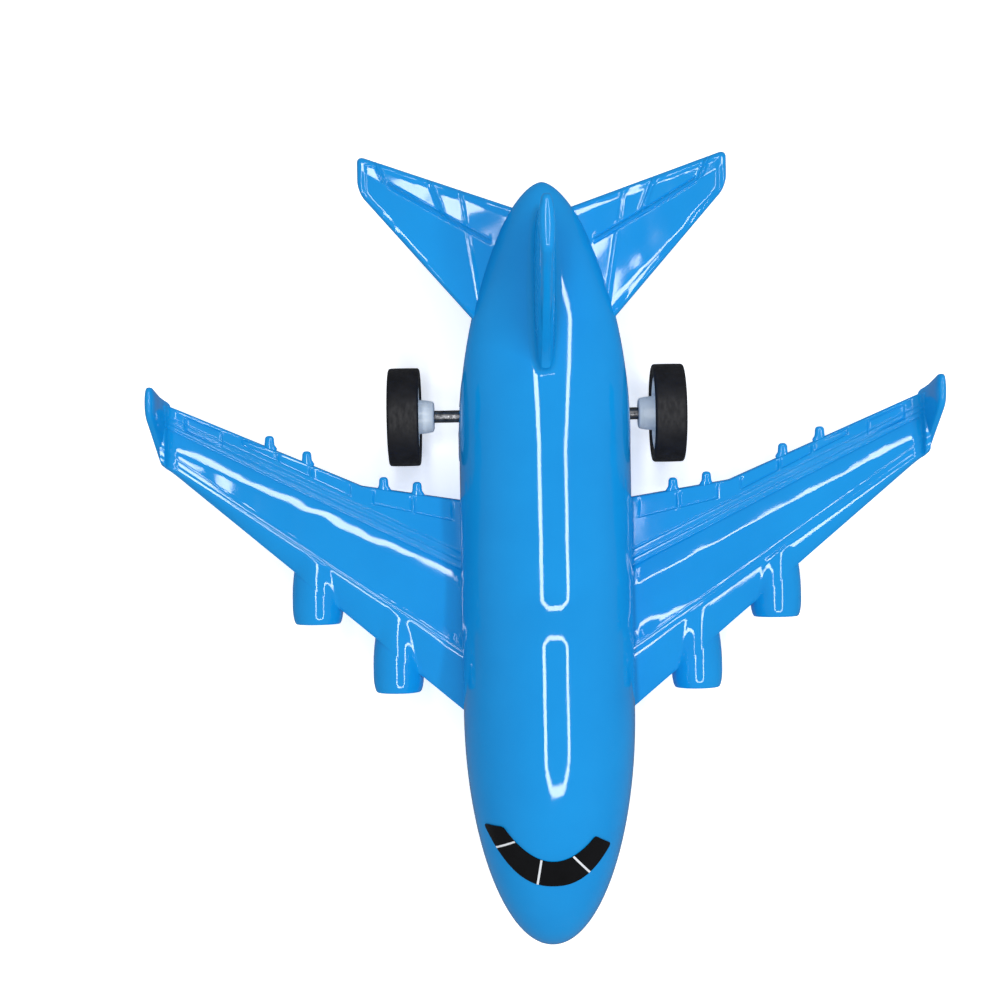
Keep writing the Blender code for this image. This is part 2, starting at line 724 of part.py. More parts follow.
def wing_tab_z():
    """Underside and top of the wing's root tab."""
    middle = WING_UNDERSIDE_Z + WING_ROOT_THICKNESS / 2
    return middle - WING_TAB_THICKNESS / 2, middle + WING_TAB_THICKNESS / 2


def fit_wings(lower):
    """Slots for the wings' root tabs, and the posts that they are screwed to."""
    posts, holes = [], []
    low_z, high_z = wing_tab_z()
    for side, sign in (("left", -1), ("right", 1)):
        top = low_z - CLEARANCE
        x = sign * WING_SCREW_X
        posts.append(lower_post(f"wing_post_{side}", x, WING_SCREW_Y, top, SMALL_POST_RADIUS))
        holes.append(small_pilot(f"wing_pilot_{side}", x, WING_SCREW_Y, top))
        xs = sorted((sign * (WING_TAB_INNER_X - CLEARANCE), sign * (BODY_HALF_WIDTH + CUT_MARGIN)))
        low = (xs[0], WING_TAB_FRONT_Y - CLEARANCE, low_z - CLEARANCE)
        high = (xs[1], WING_TAB_REAR_Y + CLEARANCE, high_z + CLEARANCE)
        holes.append(box(f"wing_slot_{side}", low, high))
    join(lower, *posts)
    cut(lower, *holes)


def fit_nose_wheels(lower):
    """The lug that carries the nose wheels' pin, and a well for each wheel."""
    middle = NOSE_WHEEL_RADIUS
    lug = NOSE_LUG_HALF_WIDTH
    half = NOSE_LUG_HALF_LENGTH
    top = keel_z(NOSE_WHEEL_Y) + WALL
    steps = 8
    outline = [
        polar((NOSE_WHEEL_Y, middle), half, math.pi * (1.0 + i / steps)) for i in range(steps + 1)
    ]
    outline += [(NOSE_WHEEL_Y + half, top), (NOSE_WHEEL_Y - half, top)]
    join(lower, plate("lug", [outline], -lug, lug))
    bore = NOSE_PIN_RADIUS + SHAFT_CLEARANCE
    pin_hole = cylinder("pin_hole", "X", bore, (-2 * lug, NOSE_WHEEL_Y, middle), 4 * lug, AXLE_STEPS)
    wells = []
    inner = lug + NOSE_SIDE_GAP - CLEARANCE
    outer = lug + NOSE_SIDE_GAP + NOSE_WHEEL_WIDTH + WELL_CLEARANCE
    reach = NOSE_WHEEL_RADIUS + WELL_CLEARANCE
    for side, sign in (("left", -1), ("right", 1)):
        start = -outer if sign < 0 else inner
        place = (start, NOSE_WHEEL_Y, middle)
        wells.append(cylinder(f"well_{side}", "X", reach, place, outer - inner, 24))
    cut(lower, pin_hole, *wells)


# ================================================================ tailplane
def tailplane_solid(name, grow=0.0):
    """Both stabilisers in one plate that runs through the tail. A grown copy cuts its notch."""
    rings = []
    root_x, tip_x = TAILPLANE_ROOT_X, TAILPLANE_TIP_X
    for x in (-tip_x, 0.2 * root_x - tip_x, -root_x, root_x, tip_x - 0.2 * root_x, tip_x):
        t = (abs(x) - root_x) / (tip_x - root_x)
        front = mix(TAILPLANE_LE_Y, TAILPLANE_TIP_LE_Y, t) - grow
        back = mix(TAILPLANE_TE_Y, TAILPLANE_TIP_TE_Y, t) + grow
        if abs(x) == tip_x:
            front += TAILPLANE_TIP_ROUNDING
        thick = mix(TAILPLANE_THICKNESS, TAILPLANE_TIP_THICKNESS, t)
        middle = TAIL_END_Z + math.tan(TAILPLANE_DIHEDRAL) * (abs(x) - root_x)
        rings.append(blade_ring(x, front, back, middle - thick / 2 - grow, thick + 2 * grow))
    return loft(name, rings)


def blade_ring(x, front, back, low, thick):
    """A rounded blade section across X: blunt ahead, thinner behind, flat below."""
    chord = back - front
    top = [(0.0, 0.45), (0.01, 0.72), (0.04, 0.92), (0.12, 1.0), (0.6, 1.0), (0.985, 0.8), (1.0, 0.6)]
    under = [(1.0, 0.15), (0.99, 0.0), (0.04, 0.0), (0.01, 0.15)]
    return [(x, front + chord * a, low + thick * b) for a, b in top + under]


def build_tailplane(upper, lower):
    root = tailplane_solid("tailplane")
    bay = box(
        "tail_bay",
        (-TAILPLANE_TIP_X, SHELL_SCREW_YS[2] - SHELL_POST_RADIUS - 30 * MM, 0),
        (TAILPLANE_TIP_X, SHELL_SCREW_YS[2] + SHELL_POST_RADIUS + CLEARANCE, 100 * MM),
    )
    inside = body_solid("tail_inside", WALL)
    gap = combine(bay, "INTERSECT", inside)
    cut(root, gap)
    cut(upper, tailplane_solid("tail_notch_upper", CLEARANCE))
    cut(lower, tailplane_solid("tail_notch_lower", CLEARANCE))
    return finish(root, BLUE)


# ================================================================ wings
def wing_le(x):
    return mix(WING_ROOT_LE_Y, WING_TIP_LE_Y, (x - WING_ROOT_X) / (WING_TIP_X - WING_ROOT_X))


def wing_te(x):
    if x < WING_KINK_X:
        return mix(WING_ROOT_TE_Y, WING_KINK_TE_Y, (x - WING_ROOT_X) / (WING_KINK_X - WING_ROOT_X))
    return mix(WING_KINK_TE_Y, WING_TIP_TE_Y, (x - WING_KINK_X) / (WING_TIP_X - WING_KINK_X))


def wing_thickness(x):
    share = max(0.0, (x - WING_ROOT_X) / (WING_TIP_X - WING_ROOT_X))
    return mix(WING_ROOT_THICKNESS, WING_TIP_THICKNESS, share)


def wing_low(x):
    """Height of the wing's underside."""
    return WING_UNDERSIDE_Z + math.tan(WING_DIHEDRAL) * (x - WING_ROOT_X)


def wing_plate():
    steps = range(WING_STEPS)
    xs = [mix(WING_INNER_X, WING_KINK_X, i / WING_STEPS) for i in steps]
    xs += [mix(WING_KINK_X, WING_TIP_X, i / WING_STEPS) for i in (*steps, WING_STEPS)]
    places = [(x, wing_le(x), wing_te(x), wing_low(x), wing_thickness(x)) for x in xs]
    return loft("plate", [blade_ring(*place) for place in places])


def winglet():
    rings = []
    for t in (0.0, 0.35, 0.8, 1.0):
        z = mix(wing_low(WING_TIP_X), wing_low(WING_TIP_X) + WINGLET_HEIGHT + WING_TIP_THICKNESS, t)
        front = mix(WING_TIP_LE_Y - 0.4 * MM, WINGLET_TOP_LE_Y, t)
        back = mix(WING_TIP_TE_Y, WINGLET_TOP_TE_Y, t)
        half = WINGLET_THICKNESS / 2 * (1.0 if t < 1.0 else 0.5)
        middle = WING_TIP_X - WINGLET_THICKNESS / 2 + 0.3 * MM + WINGLET_LEAN * t
        side = [(0.0, 0.0), (0.7, 0.04), (1.0, 0.14), (1.0, 0.86), (0.7, 0.96), (0.0, 1.0)]
        outer = [(middle + half * a, mix(front, back, b), z) for a, b in side]
        inner = [(middle - half * a, mix(front, back, b), z) for a, b in side[-2:0:-1]]
        rings.append(outer + inner)
    return loft("winglet", rings)


def nacelle_axis_z(x):
    return wing_low(x) - NACELLE_DROP


def nacelle_front(which):
    return wing_le(NACELLES[which]) - NACELLE_REACH[which]


def nacelle_solid(name, which):
    """The engine's outer form: a round lip, a barrel and a tapered tail."""
    r = NACELLE_RADIUS
    end = NACELLE_LENGTH
    profile = [
        (0.0, end),
        (NACELLE_TAIL_RADIUS, end),
        (0.80 * r, 0.72 * end),
        (0.97 * r, 0.45 * end),
        (r, 0.25 * end),
        (0.985 * r, 1.3 * MM),
        (0.93 * r, 0.35 * MM),
        (0.84 * r, 0.0),
        (0.0, 0.0),
    ]
    x = NACELLES[which]
    return turned(name, "Y", profile, (x, nacelle_front(which), nacelle_axis_z(x)), NACELLE_STEPS)


def intake(name, which):
    x = NACELLES[which]
    start = (x, nacelle_front(which) - CUT_MARGIN, nacelle_axis_z(x))
    radius, length = NACELLE_RADIUS - NACELLE_WALL, INTAKE_DEPTH + CUT_MARGIN
    return cylinder(name, "Y", radius, start, length, NACELLE_STEPS)


def half_space(name, which, above, gap):
    """A block above or below one engine's axis."""
    x = NACELLES[which]
    edge = nacelle_axis_z(x) + (gap / 2 if above else -gap / 2)
    reach = NACELLE_RADIUS + CUT_MARGIN
    front = nacelle_front(which) - CUT_MARGIN
    back = front + NACELLE_LENGTH + 2 * CUT_MARGIN
    if above:
        return box(name, (x - reach, front, edge), (x + reach, back, edge + 4 * reach))
    return box(name, (x - reach, front, edge - 4 * reach), (x + reach, back, edge))


def peg(name, which, clearance):
    """A cowl's locating peg, or its socket in the wing when it is grown by a clearance."""
    x = NACELLES[which]
    foot = nacelle_axis_z(x) - CUT_MARGIN / 2
    length = CUT_MARGIN / 2 + PEG_HEIGHT + 2 * clearance
    place = (x, nacelle_front(which) + PEG_SETBACK, foot)
    return cylinder(name, "Z", PEG_RADIUS + clearance, place, length, SCREW_STEPS)


def wing_pockets():
    """The bays under the wing, between its ribs, that leave a skin above and a rim round it."""
    pockets = []
    for i, (start, end) in enumerate(zip(WING_BAYS, WING_BAYS[1:])):
        rings = []
        for x in (start + WING_RIB / 2, end - WING_RIB / 2):
            front = wing_le(x) + 2.2 * WING_RIM
            back = wing_te(x) - WING_RIM
            roof = wing_low(x) + wing_thickness(x) * 0.98 - WING_SKIN
            floor = wing_low(x) - CUT_MARGIN
            chord = back - front
            aft = roof - 0.22 * wing_thickness(x)
            outline = [(front, floor), (front, roof), (front + 0.6 * chord, roof)]
            outline += [(back, aft), (back, floor)]
            rings.append([(x, y, z) for y, z in outline])
        pockets.append(loft(f"pocket{i}", rings))
    return pockets


def fairing(name, x):
    """A flap-track fairing: a small round-ended rod behind the trailing edge."""
    r = FAIRING_RADIUS
    end = wing_te(x) + FAIRING_OVERHANG
    z = wing_low(x) + 0.42 * wing_thickness(x)
    long = FAIRING_LENGTH
    profile = [(0.0, long), (0.6 * r, long - 0.2 * r), (r, long - r), (r, 0.0), (0.0, 0.0)]
    return turned(name, "Y", profile, (x, end - long, z), 10)


def build_wing():
    """The right wing, with the upper halves of its two engines."""
    wing = wing_plate()
    wing.name = "wing_right"
    cut(wing, *wing_pockets())
    join(wing, winglet(), *[fairing(f"fairing{i}", x) for i, x in enumerate(FAIRING_XS)])
    halves = []
    for which in NACELLES:
        top = nacelle_solid(f"top_{which}", which)
        halves.append(combine(top, "INTERSECT", half_space(f"over_{which}", which, True, CLEARANCE)))
    join(wing, *halves)
    cut(wing, *[intake(f"intake_{which}", which) for which in NACELLES])
    cut(wing, *[peg(f"socket_{which}", which, CLEARANCE) for which in NACELLES])
    cut(wing, body_solid("body_clear", -CLEARANCE))
    low_z, high_z = wing_tab_z()
    tab = box(
        "tab",
        (WING_TAB_INNER_X, WING_TAB_FRONT_Y, low_z),
        (BODY_HALF_WIDTH + 2 * WALL, WING_TAB_REAR_Y, high_z),
    )
    join(wing, tab)
    hole = SCREW_RADIUS + SCREW_HOLE_CLEARANCE
    start = (WING_SCREW_X, WING_SCREW_Y, low_z - CUT_MARGIN)
    cut(wing, cylinder("tab_hole", "Z", hole, start, 3 * CUT_MARGIN, SCREW_STEPS))
    return finish(wing, BLUE)


def build_cowl(which):
    """The lower half of one engine's casing, which closes it from below."""
    cowl = nacelle_solid(f"engine_cowl_{which}_right", which)
    combine(cowl, "INTERSECT", half_space(f"under_{which}", which, False, CLEARANCE))
    cut(cowl, intake(f"bore_{which}", which))
    join(cowl, peg(f"peg_{which}", which, 0.0))
    return finish(cowl, BLUE)


# ================================================================ cockpit decal
def build_decal():
    """A thin curved band of window print across the nose."""
    def point(across, along, lift):
        inner = (DECAL_INNER_HALF * along, DECAL_INNER_Y + DECAL_INNER_SWEEP * along ** 2)
        outer = (DECAL_OUTER_HALF * along, DECAL_OUTER_Y + DECAL_OUTER_SWEEP * along ** 2)
        x, y = mix(inner[0], outer[0], across), mix(inner[1], outer[1], across)
        step = 0.05 * MM
        z = surface_z(x, y)
        slope_x = (surface_z(x + step, y) - surface_z(x - step, y)) / (2 * step)
        slope_y = (surface_z(x, y + step) - surface_z(x, y - step)) / (2 * step)
        normal = Vector((-slope_x, -slope_y, 1.0)).normalized()
        return Vector((x, y, z)) + normal * lift

    rings = []
    for i in range(DECAL_COLUMNS + 1):
        along = mix(*DECAL_SPAN, i / DECAL_COLUMNS)
        lower = [point(j / DECAL_ROWS, along, DECAL_GAP) for j in range(DECAL_ROWS + 1)]
        upper = [point(j / DECAL_ROWS, along, DECAL_GAP + DECAL_THICKNESS) for j in range(DECAL_ROWS + 1)]
        rings.append(lower + upper[::-1])
    return finish(loft("cockpit_decal", rings), DECAL)


# ================================================================ wheels and axles
def wheel_middle(sign):
    return sign * TRACK / 2 + AXLE_OFFSET


def build_tyre(name, sign):
    half, corner = TYRE_WIDTH / 2, TYRE_CORNER
    inner = HUB_RADIUS + SHAFT_CLEARANCE
    profile = [
        (inner, half),
        (TYRE_RADIUS - corner, half),
        (TYRE_RADIUS - 0.3 * corner, half - 0.3 * corner),
        (TYRE_RADIUS, half - corner),
        (TYRE_RADIUS, corner - half),
        (TYRE_RADIUS - 0.3 * corner, 0.3 * corner - half),
        (TYRE_RADIUS - corner, -half),
        (inner, -half),
    ]
    return finish(turned(name, "X", profile, (wheel_middle(sign), *AXLE_POINT), WHEEL_STEPS, True), RUBBER)


def build_hub(name, sign):
    """A dished disc inside the tyre, with a boss that grips the axle and points at the fuselage."""
    half = HUB_WIDTH / 2
    bore = AXLE_RADIUS + SHAFT_CLEARANCE
    rim = HUB_RADIUS - HUB_RIM
    tip = -half - HUB_BOSS_LENGTH
    blind = AXLE_INTO_HUB + CLEARANCE
    profile = [
        (0.0, half - 0.6 * MM),
        (HUB_CAP_RADIUS, half - 0.6 * MM),
        (HUB_CAP_RADIUS + 0.8 * MM, half - 1.8 * MM),
        (rim, half - 1.8 * MM),
        (rim, half),
        (HUB_RADIUS, half),
        (HUB_RADIUS, -half),
        (rim, -half),
        (rim, half - 1.8 * MM - HUB_WEB),
        (HUB_BOSS_RADIUS, half - 1.8 * MM - HUB_WEB),
        (HUB_BOSS_RADIUS, -half),
        (HUB_BOSS_END_RADIUS, tip),
        (bore, tip),
        (bore, blind),
        (0.0, blind),
    ]
    hub = turned(name, "X", profile, (0, 0, 0), WHEEL_STEPS)
    if sign < 0:
        hub.data.transform(Matrix.Rotation(math.pi, 4, "Z"))
    hub.data.transform(Matrix.Translation((wheel_middle(sign), *AXLE_POINT)))
    return finish(hub, GREY)


def build_axle():
    """The main axle, a steel pin with chamfered ends."""
    half = TRACK / 2 + AXLE_INTO_HUB
    corner = 0.3 * MM
    r = AXLE_RADIUS
    end = [(0.0, half), (r - corner, half), (r, half - corner)]
    profile = end + [(radius, -x) for radius, x in end[::-1]]
    return finish(turned("drive_axle", "X", profile, (AXLE_OFFSET, *AXLE_POINT), AXLE_STEPS), STEEL)


def build_nose_wheels():
    lug = NOSE_LUG_HALF_WIDTH + NOSE_SIDE_GAP
    outer = lug + NOSE_WHEEL_WIDTH
    r = NOSE_WHEEL_RADIUS
    bore = NOSE_PIN_RADIUS + SHAFT_CLEARANCE
    corner = 0.7 * MM
    for side, sign in (("left", -1), ("right", 1)):
        profile = [
            (bore, outer),
            (0.45 * r, outer),
            (0.55 * r, outer - 0.6 * MM),
            (0.75 * r, outer - 0.6 * MM),
            (0.8 * r, outer),
            (r - corner, outer),
            (r, outer - corner),
            (r, lug + corner),
            (r - corner, lug),
            (bore, lug),
        ]
        wheel = turned(f"nose_wheel_{side}", "X", profile, (0, 0, 0), 24, True)
        if sign < 0:
            wheel.data.transform(Matrix.Rotation(math.pi, 4, "Z"))
        wheel.data.transform(Matrix.Translation((0, NOSE_WHEEL_Y, NOSE_WHEEL_RADIUS)))
        finish(wheel, BLACK)
    start = (-outer, NOSE_WHEEL_Y, NOSE_WHEEL_RADIUS)
    finish(cylinder("nose_axle", "X", NOSE_PIN_RADIUS, start, 2 * outer, AXLE_STEPS), STEEL)


# ================================================================ friction motor
def involute(angle):
    return math.tan(angle) - angle


def gear_outline(teeth, turn):
    """(y, z) points of an involute spur gear about the origin, with one tooth at angle turn."""
    pitch = teeth * GEAR_MODULE / 2
    base = pitch * math.cos(PRESSURE_ANGLE)
    tip = pitch + ADDENDUM * GEAR_MODULE
    root = pitch - DEDENDUM * GEAR_MODULE
    thick = math.pi * GEAR_MODULE / 2 - TOOTH_THINNING * GEAR_MODULE
    half_at_pitch = thick / (2 * pitch)
    start = max(base, root)
    radii = [mix(start, tip, t) for t in (0.0, 0.45, 1.0)]
    flank = []
    for radius in radii:
        press = math.acos(min(1.0, base / radius))
        flank.append((radius, half_at_pitch + involute(PRESSURE_ANGLE) - involute(press)))
    if root < base:
        flank.insert(0, (root, flank[0][1]))
    points = []
    for i in range(teeth):
        middle = turn + 2 * math.pi * i / teeth
        points += [polar((0.0, 0.0), radius, middle - half) for radius, half in flank]
        points += [polar((0.0, 0.0), radius, middle + half) for radius, half in flank[::-1]]
    return points


def gear(name, teeth, point, turn, low_x, high_x, bore):
    outline = [(point[0] + y, point[1] + z) for y, z in gear_outline(teeth, turn)]
    return plate(name, [outline, circle_points(point, bore, AXLE_STEPS)], low_x, high_x)


def case_circles(wall):
    """The circles that the gear case's outline wraps, wall outside the gears' running gap."""
    grow = TIP + GEAR_TIP_GAP + wall
    return [
        (AXLE_POINT, AXLE_GEAR_RADIUS + grow),
        (IDLER_POINT, IDLER_WHEEL_RADIUS + grow),
        (FLYWHEEL_POINT, FLYWHEEL_PINION_RADIUS + grow),
    ]


def build_gears():
    """The train: the axle's gear turns the idler, and the idler's wheel turns the flywheel's pinion."""
    press = SHAFT_CLEARANCE
    idler_turn = IDLER_ANGLE + math.pi + math.pi / IDLER_PINION_TEETH
    wheel_turn = FLYWHEEL_ANGLE
    pinion_turn = FLYWHEEL_ANGLE + math.pi + math.pi / FLYWHEEL_PINION_TEETH
    end_x = AXLE_GEAR_X + AXLE_GEAR_WIDTH
    axle_gear = gear(
        "axle_gear", AXLE_GEAR_TEETH, AXLE_POINT, IDLER_ANGLE, AXLE_GEAR_X, end_x, AXLE_RADIUS + press
    )
    finish(axle_gear, WHITE)

    lap = 0.3 * MM
    bore = SHAFT_RADIUS + SHAFT_CLEARANCE
    wheel_end = IDLER_WHEEL_X + IDLER_WHEEL_WIDTH
    pinion_end = IDLER_WHEEL_X + lap
    small, large = IDLER_PINION_TEETH, IDLER_WHEEL_TEETH
    pinion = gear("pinion", small, IDLER_POINT, idler_turn, AXLE_GEAR_X, pinion_end, bore)
    idler = gear("idler_gear", large, IDLER_POINT, wheel_turn, IDLER_WHEEL_X, wheel_end, bore)
    finish(join(idler, pinion), WHITE)

    fly = gear(
        "flywheel_pinion",
        FLYWHEEL_PINION_TEETH,
        FLYWHEEL_POINT,
        pinion_turn,
        IDLER_WHEEL_X - GEAR_SIDE_GAP / 2,
        wheel_end + GEAR_SIDE_GAP / 2,
        bore,
    )
    finish(fly, STEEL)

    finish(shaft("idler_pin", IDLER_POINT, CASE_X, CASE_END_X), STEEL)
    fly_end = FLYWHEEL_X + FLYWHEEL_WIDTH + 2 * CLEARANCE
    finish(shaft("flywheel_shaft", FLYWHEEL_POINT, CASE_X, fly_end), STEEL)
    build_flywheel(bore)


def shaft(name, point, low_x, high_x):
    return cylinder(name, "X", SHAFT_RADIUS, (low_x, *point), high_x - low_x, AXLE_STEPS)


def build_flywheel(bore):
    r, wide, dish = FLYWHEEL_RADIUS, FLYWHEEL_WIDTH, FLYWHEEL_DISH
    corner = 0.4 * MM
    rim = 0.74 * r
    boss = 3.0 * bore
    profile = [
        (bore, wide),
        (boss, wide),
        (boss + 0.3 * MM, wide - dish),
        (rim, wide - dish),
        (rim + 0.3 * MM, wide),
        (r - corner, wide),
        (r, wide - corner),
        (r, corner),
        (r - corner, 0.0),
        (bore, 0.0),
    ]
    finish(turned("flywheel", "X", profile, (FLYWHEEL_X, *FLYWHEEL_POINT), WHEEL_STEPS, True), STEEL)


def build_case():
    """The two halves of the gear case, which hold the three shafts between them."""
    outer = hull_outline(case_circles(CASE_WALL), CASE_STEPS)
    inner = hull_outline(case_circles(0.0), CASE_STEPS)
    split_gap = CLEARANCE / 2
    near, far = CASE_SPLIT_X - split_gap, CASE_SPLIT_X + split_gap
    halves = {
        "gear_case_left": (CASE_X, near, CASE_X + CASE_WALL, far + CUT_MARGIN),
        "gear_case_right": (far, CASE_END_X, near - CUT_MARGIN, CASE_END_X - CASE_WALL),
    }
    for name, (low, high, hollow_low, hollow_high) in halves.items():
        half = plate(name, [outer], low, high)
        cutters = [plate("hollow", [inner], hollow_low, hollow_high)]
        if name == "gear_case_left":
            ears, holes = case_ears()
            join(half, *ears)
            cutters += holes
        for i, (point, radius) in enumerate(
            ((AXLE_POINT, AXLE_RADIUS), (IDLER_POINT, SHAFT_RADIUS), (FLYWHEEL_POINT, SHAFT_RADIUS))
        ):
            start = (CASE_X - CUT_MARGIN, *point)
            long = CASE_END_X - CASE_X + 2 * CUT_MARGIN
            cutters.append(cylinder(f"bearing{i}", "X", radius + SHAFT_CLEARANCE, start, long, AXLE_STEPS))
        cut(half, *cutters)
        finish(half, BLACK)


def case_ears():
    """Flat ears, front and back, that screw down on the lower shell's posts, and their holes."""
    ears, holes = [], []
    wide = EAR_WIDTH / 2
    middle_y = (IDLER_POINT[0] + AXLE_POINT[0]) / 2
    for i, y in enumerate(ear_places()):
        away = math.copysign(EAR_LENGTH / 2, y - middle_y)
        ys = sorted((y + away, middle_y + math.copysign(IDLER_WHEEL_RADIUS, y - middle_y)))
        low = (EAR_X - wide, ys[0], EAR_Z - EAR_THICKNESS)
        high = (EAR_X + wide, ys[1], EAR_Z)
        ears.append(box(f"ear{i}", low, high))
        start = (EAR_X, y, EAR_Z - 2 * EAR_THICKNESS)
        bore = SCREW_RADIUS + SCREW_HOLE_CLEARANCE
        holes.append(cylinder(f"ear_hole{i}", "Z", bore, start, 3 * EAR_THICKNESS, SCREW_STEPS))
    return ears, holes


# ================================================================ fasteners
def build_screw(name, x, y, seat_z, length, upwards):
    """A pan-head screw with a cross recess. Its head bears on seat_z, and it points up or down."""
    head, high = SCREW_HEAD_RADIUS, SCREW_HEAD_HEIGHT
    gap = CLEARANCE / 2
    profile = [
        (0.0, high + gap),
        (0.7 * head, high + gap),
        (head, 0.6 * high + gap),
        (head, gap),
        (SCREW_RADIUS, gap),
        (SCREW_RADIUS, 0.6 * MM - length),
        (0.4 * SCREW_RADIUS, -length),
        (0.0, -length),
    ]
    screw = turned(name, "Z", profile, (0, 0, 0), SCREW_STEPS)
    long, thin = 0.6 * head, 0.35 * MM
    top = high + gap + CUT_MARGIN
    deep = high + gap - SCREW_RECESS
    cross = box("cross_a", (-long, -thin, deep), (long, thin, top))
    join(cross, box("cross_b", (-thin, -long, deep), (thin, long, top + MM)))
    cut(screw, cross)
    if upwards:
        screw.data.transform(Matrix.Rotation(math.pi, 4, "X"))
    screw.data.transform(Matrix.Translation((x, y, seat_z)))
    return finish(screw, STEEL)


def build_screws():
    for i, y in enumerate(SHELL_SCREW_YS):
        length = SHELL_SCREW_GRIP + CLEARANCE + SHELL_SCREW_BITE
        build_screw(f"shell_screw_{i + 1}", 0.0, y, shell_screw_head_z(y), length - CLEARANCE, True)
    for side, sign in (("left", -1), ("right", 1)):
        top = wing_tab_z()[1]
        reach = SMALL_SCREW_LENGTH + WING_TAB_THICKNESS
        build_screw(f"wing_screw_{side}", sign * WING_SCREW_X, WING_SCREW_Y, top, reach - CLEARANCE, False)
    for place, y in zip(("front", "rear"), ear_places()):
        reach = SMALL_SCREW_LENGTH + EAR_THICKNESS
        build_screw(f"motor_screw_{place}", EAR_X, y, EAR_Z, reach - CLEARANCE, False)


# ================================================================ assembly
def build_aeroplane():
    upper, lower = build_shells()
    build_tailplane(upper, lower)
    finish(upper, BLUE)
    finish(lower, BLUE)
    wing = build_wing()
    finish(mirrored(wing, "wing_left"), BLUE)
    for which in NACELLES:
        cowl = build_cowl(which)
        finish(mirrored(cowl, f"engine_cowl_{which}_left"), BLUE)
    build_decal()
    for side, sign in (("left", -1), ("right", 1)):
        build_tyre(f"tyre_{side}", sign)
        build_hub(f"hub_{side}", sign)
    build_axle()
    build_nose_wheels()
    build_gears()
    build_case()
    build_screws()


build_aeroplane()
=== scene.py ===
"""Looks for the push-and-go toy airliner: glossy blue mouldings, black tyres, grey hubs, steel axle.

Sizes are in millimetres and are turned into metres by MM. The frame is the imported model's:
+Z up, nose towards -Y, and the origin on the floor under the middle of the aeroplane.
"""

import math

import bmesh
import bpy
from mathutils import Matrix, Vector, noise


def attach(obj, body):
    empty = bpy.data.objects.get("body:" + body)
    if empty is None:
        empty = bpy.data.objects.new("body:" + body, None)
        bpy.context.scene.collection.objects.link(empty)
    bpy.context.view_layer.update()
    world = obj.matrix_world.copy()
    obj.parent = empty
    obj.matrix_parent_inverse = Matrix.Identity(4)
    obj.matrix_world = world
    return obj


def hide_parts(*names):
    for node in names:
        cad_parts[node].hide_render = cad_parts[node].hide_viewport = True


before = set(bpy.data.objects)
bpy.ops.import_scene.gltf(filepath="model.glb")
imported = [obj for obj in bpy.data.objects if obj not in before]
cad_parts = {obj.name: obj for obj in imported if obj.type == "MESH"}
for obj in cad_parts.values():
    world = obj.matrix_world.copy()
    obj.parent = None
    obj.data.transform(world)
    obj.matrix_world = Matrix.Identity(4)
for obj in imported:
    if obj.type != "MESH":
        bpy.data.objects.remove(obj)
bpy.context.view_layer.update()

MM = 0.001

# ---- fuselage form
HALF_WIDTH = 20.4
CROWN_Z, KEEL_Z, SEAM_Z = 45.0, 6.0, 24.0
NOSE_TIP_Y, NOSE_TIP_Z, NOSE_SHOULDER_Y = -93.4, 21.0, -38.0
TAIL_SHOULDER_Y, TAIL_END_Y, TAIL_END_Z = 30.0, 87.2, 35.0
NOSE_FLAT_Y = -93.3                 # the nose is cut flat ahead of this
SEAM_RISE_Y = (22.0, 60.0)
KEEL_RISE_FROM_Y = 24.0
HUMP_RISE, HUMP_Y = 3.5, (-7.0, -23.0)
SQUARENESS = 2.3
WALL = 1.8
SEAM_GAP, SEAM_GAP_RUN = 0.3, 1.5   # the gap between the shells opens over this run behind the nose
ARC_STEPS = 72

# ---- fin: values at the root and the top
FIN_LE, FIN_TE = (43.0, 66.0), (80.0, 77.6)
FIN_THICK = (5.0, 3.6)
FIN_TOP_Z = 80.0
FIN_FILLET, FIN_ROUND = 2.2, 1.5

# ---- openings and seats in the lower shell
SCREW_YS, SCREW_SEAT_DROP = (-46.0, -4.0, 56.0), 6.15
SCREW_SHANK_R, SCREW_HOLE_R, SCREW_WELL_R, SCREW_WELL_RISE = 1.5, 2.8, 4.4, 6.0
PAD_R, PAD_INSET_X, PAD_FOOT_Z = 11.0, 3.4, 9.0
PAD_PROUD, PAD_LEAN, PAD_LEAN_Z = 0.45, 1.5, (14.0, 23.0)
AXLE_SLOT_X, AXLE_SLOT_HALF, AXLE_SLOT_TOP = (12.0, 25.0), 2.1, 40.0
CASE_HOLE_X, CASE_HOLE_HALF, CASE_HOLE_TOP = (-8.8, 2.2), 9.525, 20.4
LUG_X, LUG_R, LUG_HOLE_R = 3.6, 2.6, 1.1
WELL_X, WELL_R = (3.8, 8.0), 6.9

# ---- wing form: values at the root and the tip
WING_X = (HALF_WIDTH, 92.0)
WING_LE = (-37.3, 24.0)
KINK_X = 44.0
WING_TE = (13.6, 17.4, 38.2)        # at the root, the kink and the tip
WING_LOW_Z = 17.4
WING_SLOPE = math.tan(math.radians(6.0))
WING_THICK = (4.6, 2.6)
# Heights of the leading edge, the trailing edge and the top, as shares of the thickness.
LE_SHARE, TE_SHARE, TOP_SHARE = 0.25, 0.2, 0.98
LE_ROUND, LE_DROP, EDGE_ROUND = 0.7, 0.25, 0.55
# Lines across the wing: y at the root and at the tip.
FRONT_STEP = (-23.3, 25.4)
PANEL_FRONT = (-22.0, 27.6)
PANEL_REAR = (-3.2, 33.0)
REAR_LINES = ((-1.2, 34.3), (0.9, 35.6))
# The grooves along them: depth and half width.
STEP_GROOVE, REAR_GROOVE, LINE_GROOVE = (0.10, 0.72), (0.24, 0.5), (0.20, 0.45)
PANEL_DEPTH, PANEL_WAVE = 0.085, 0.07
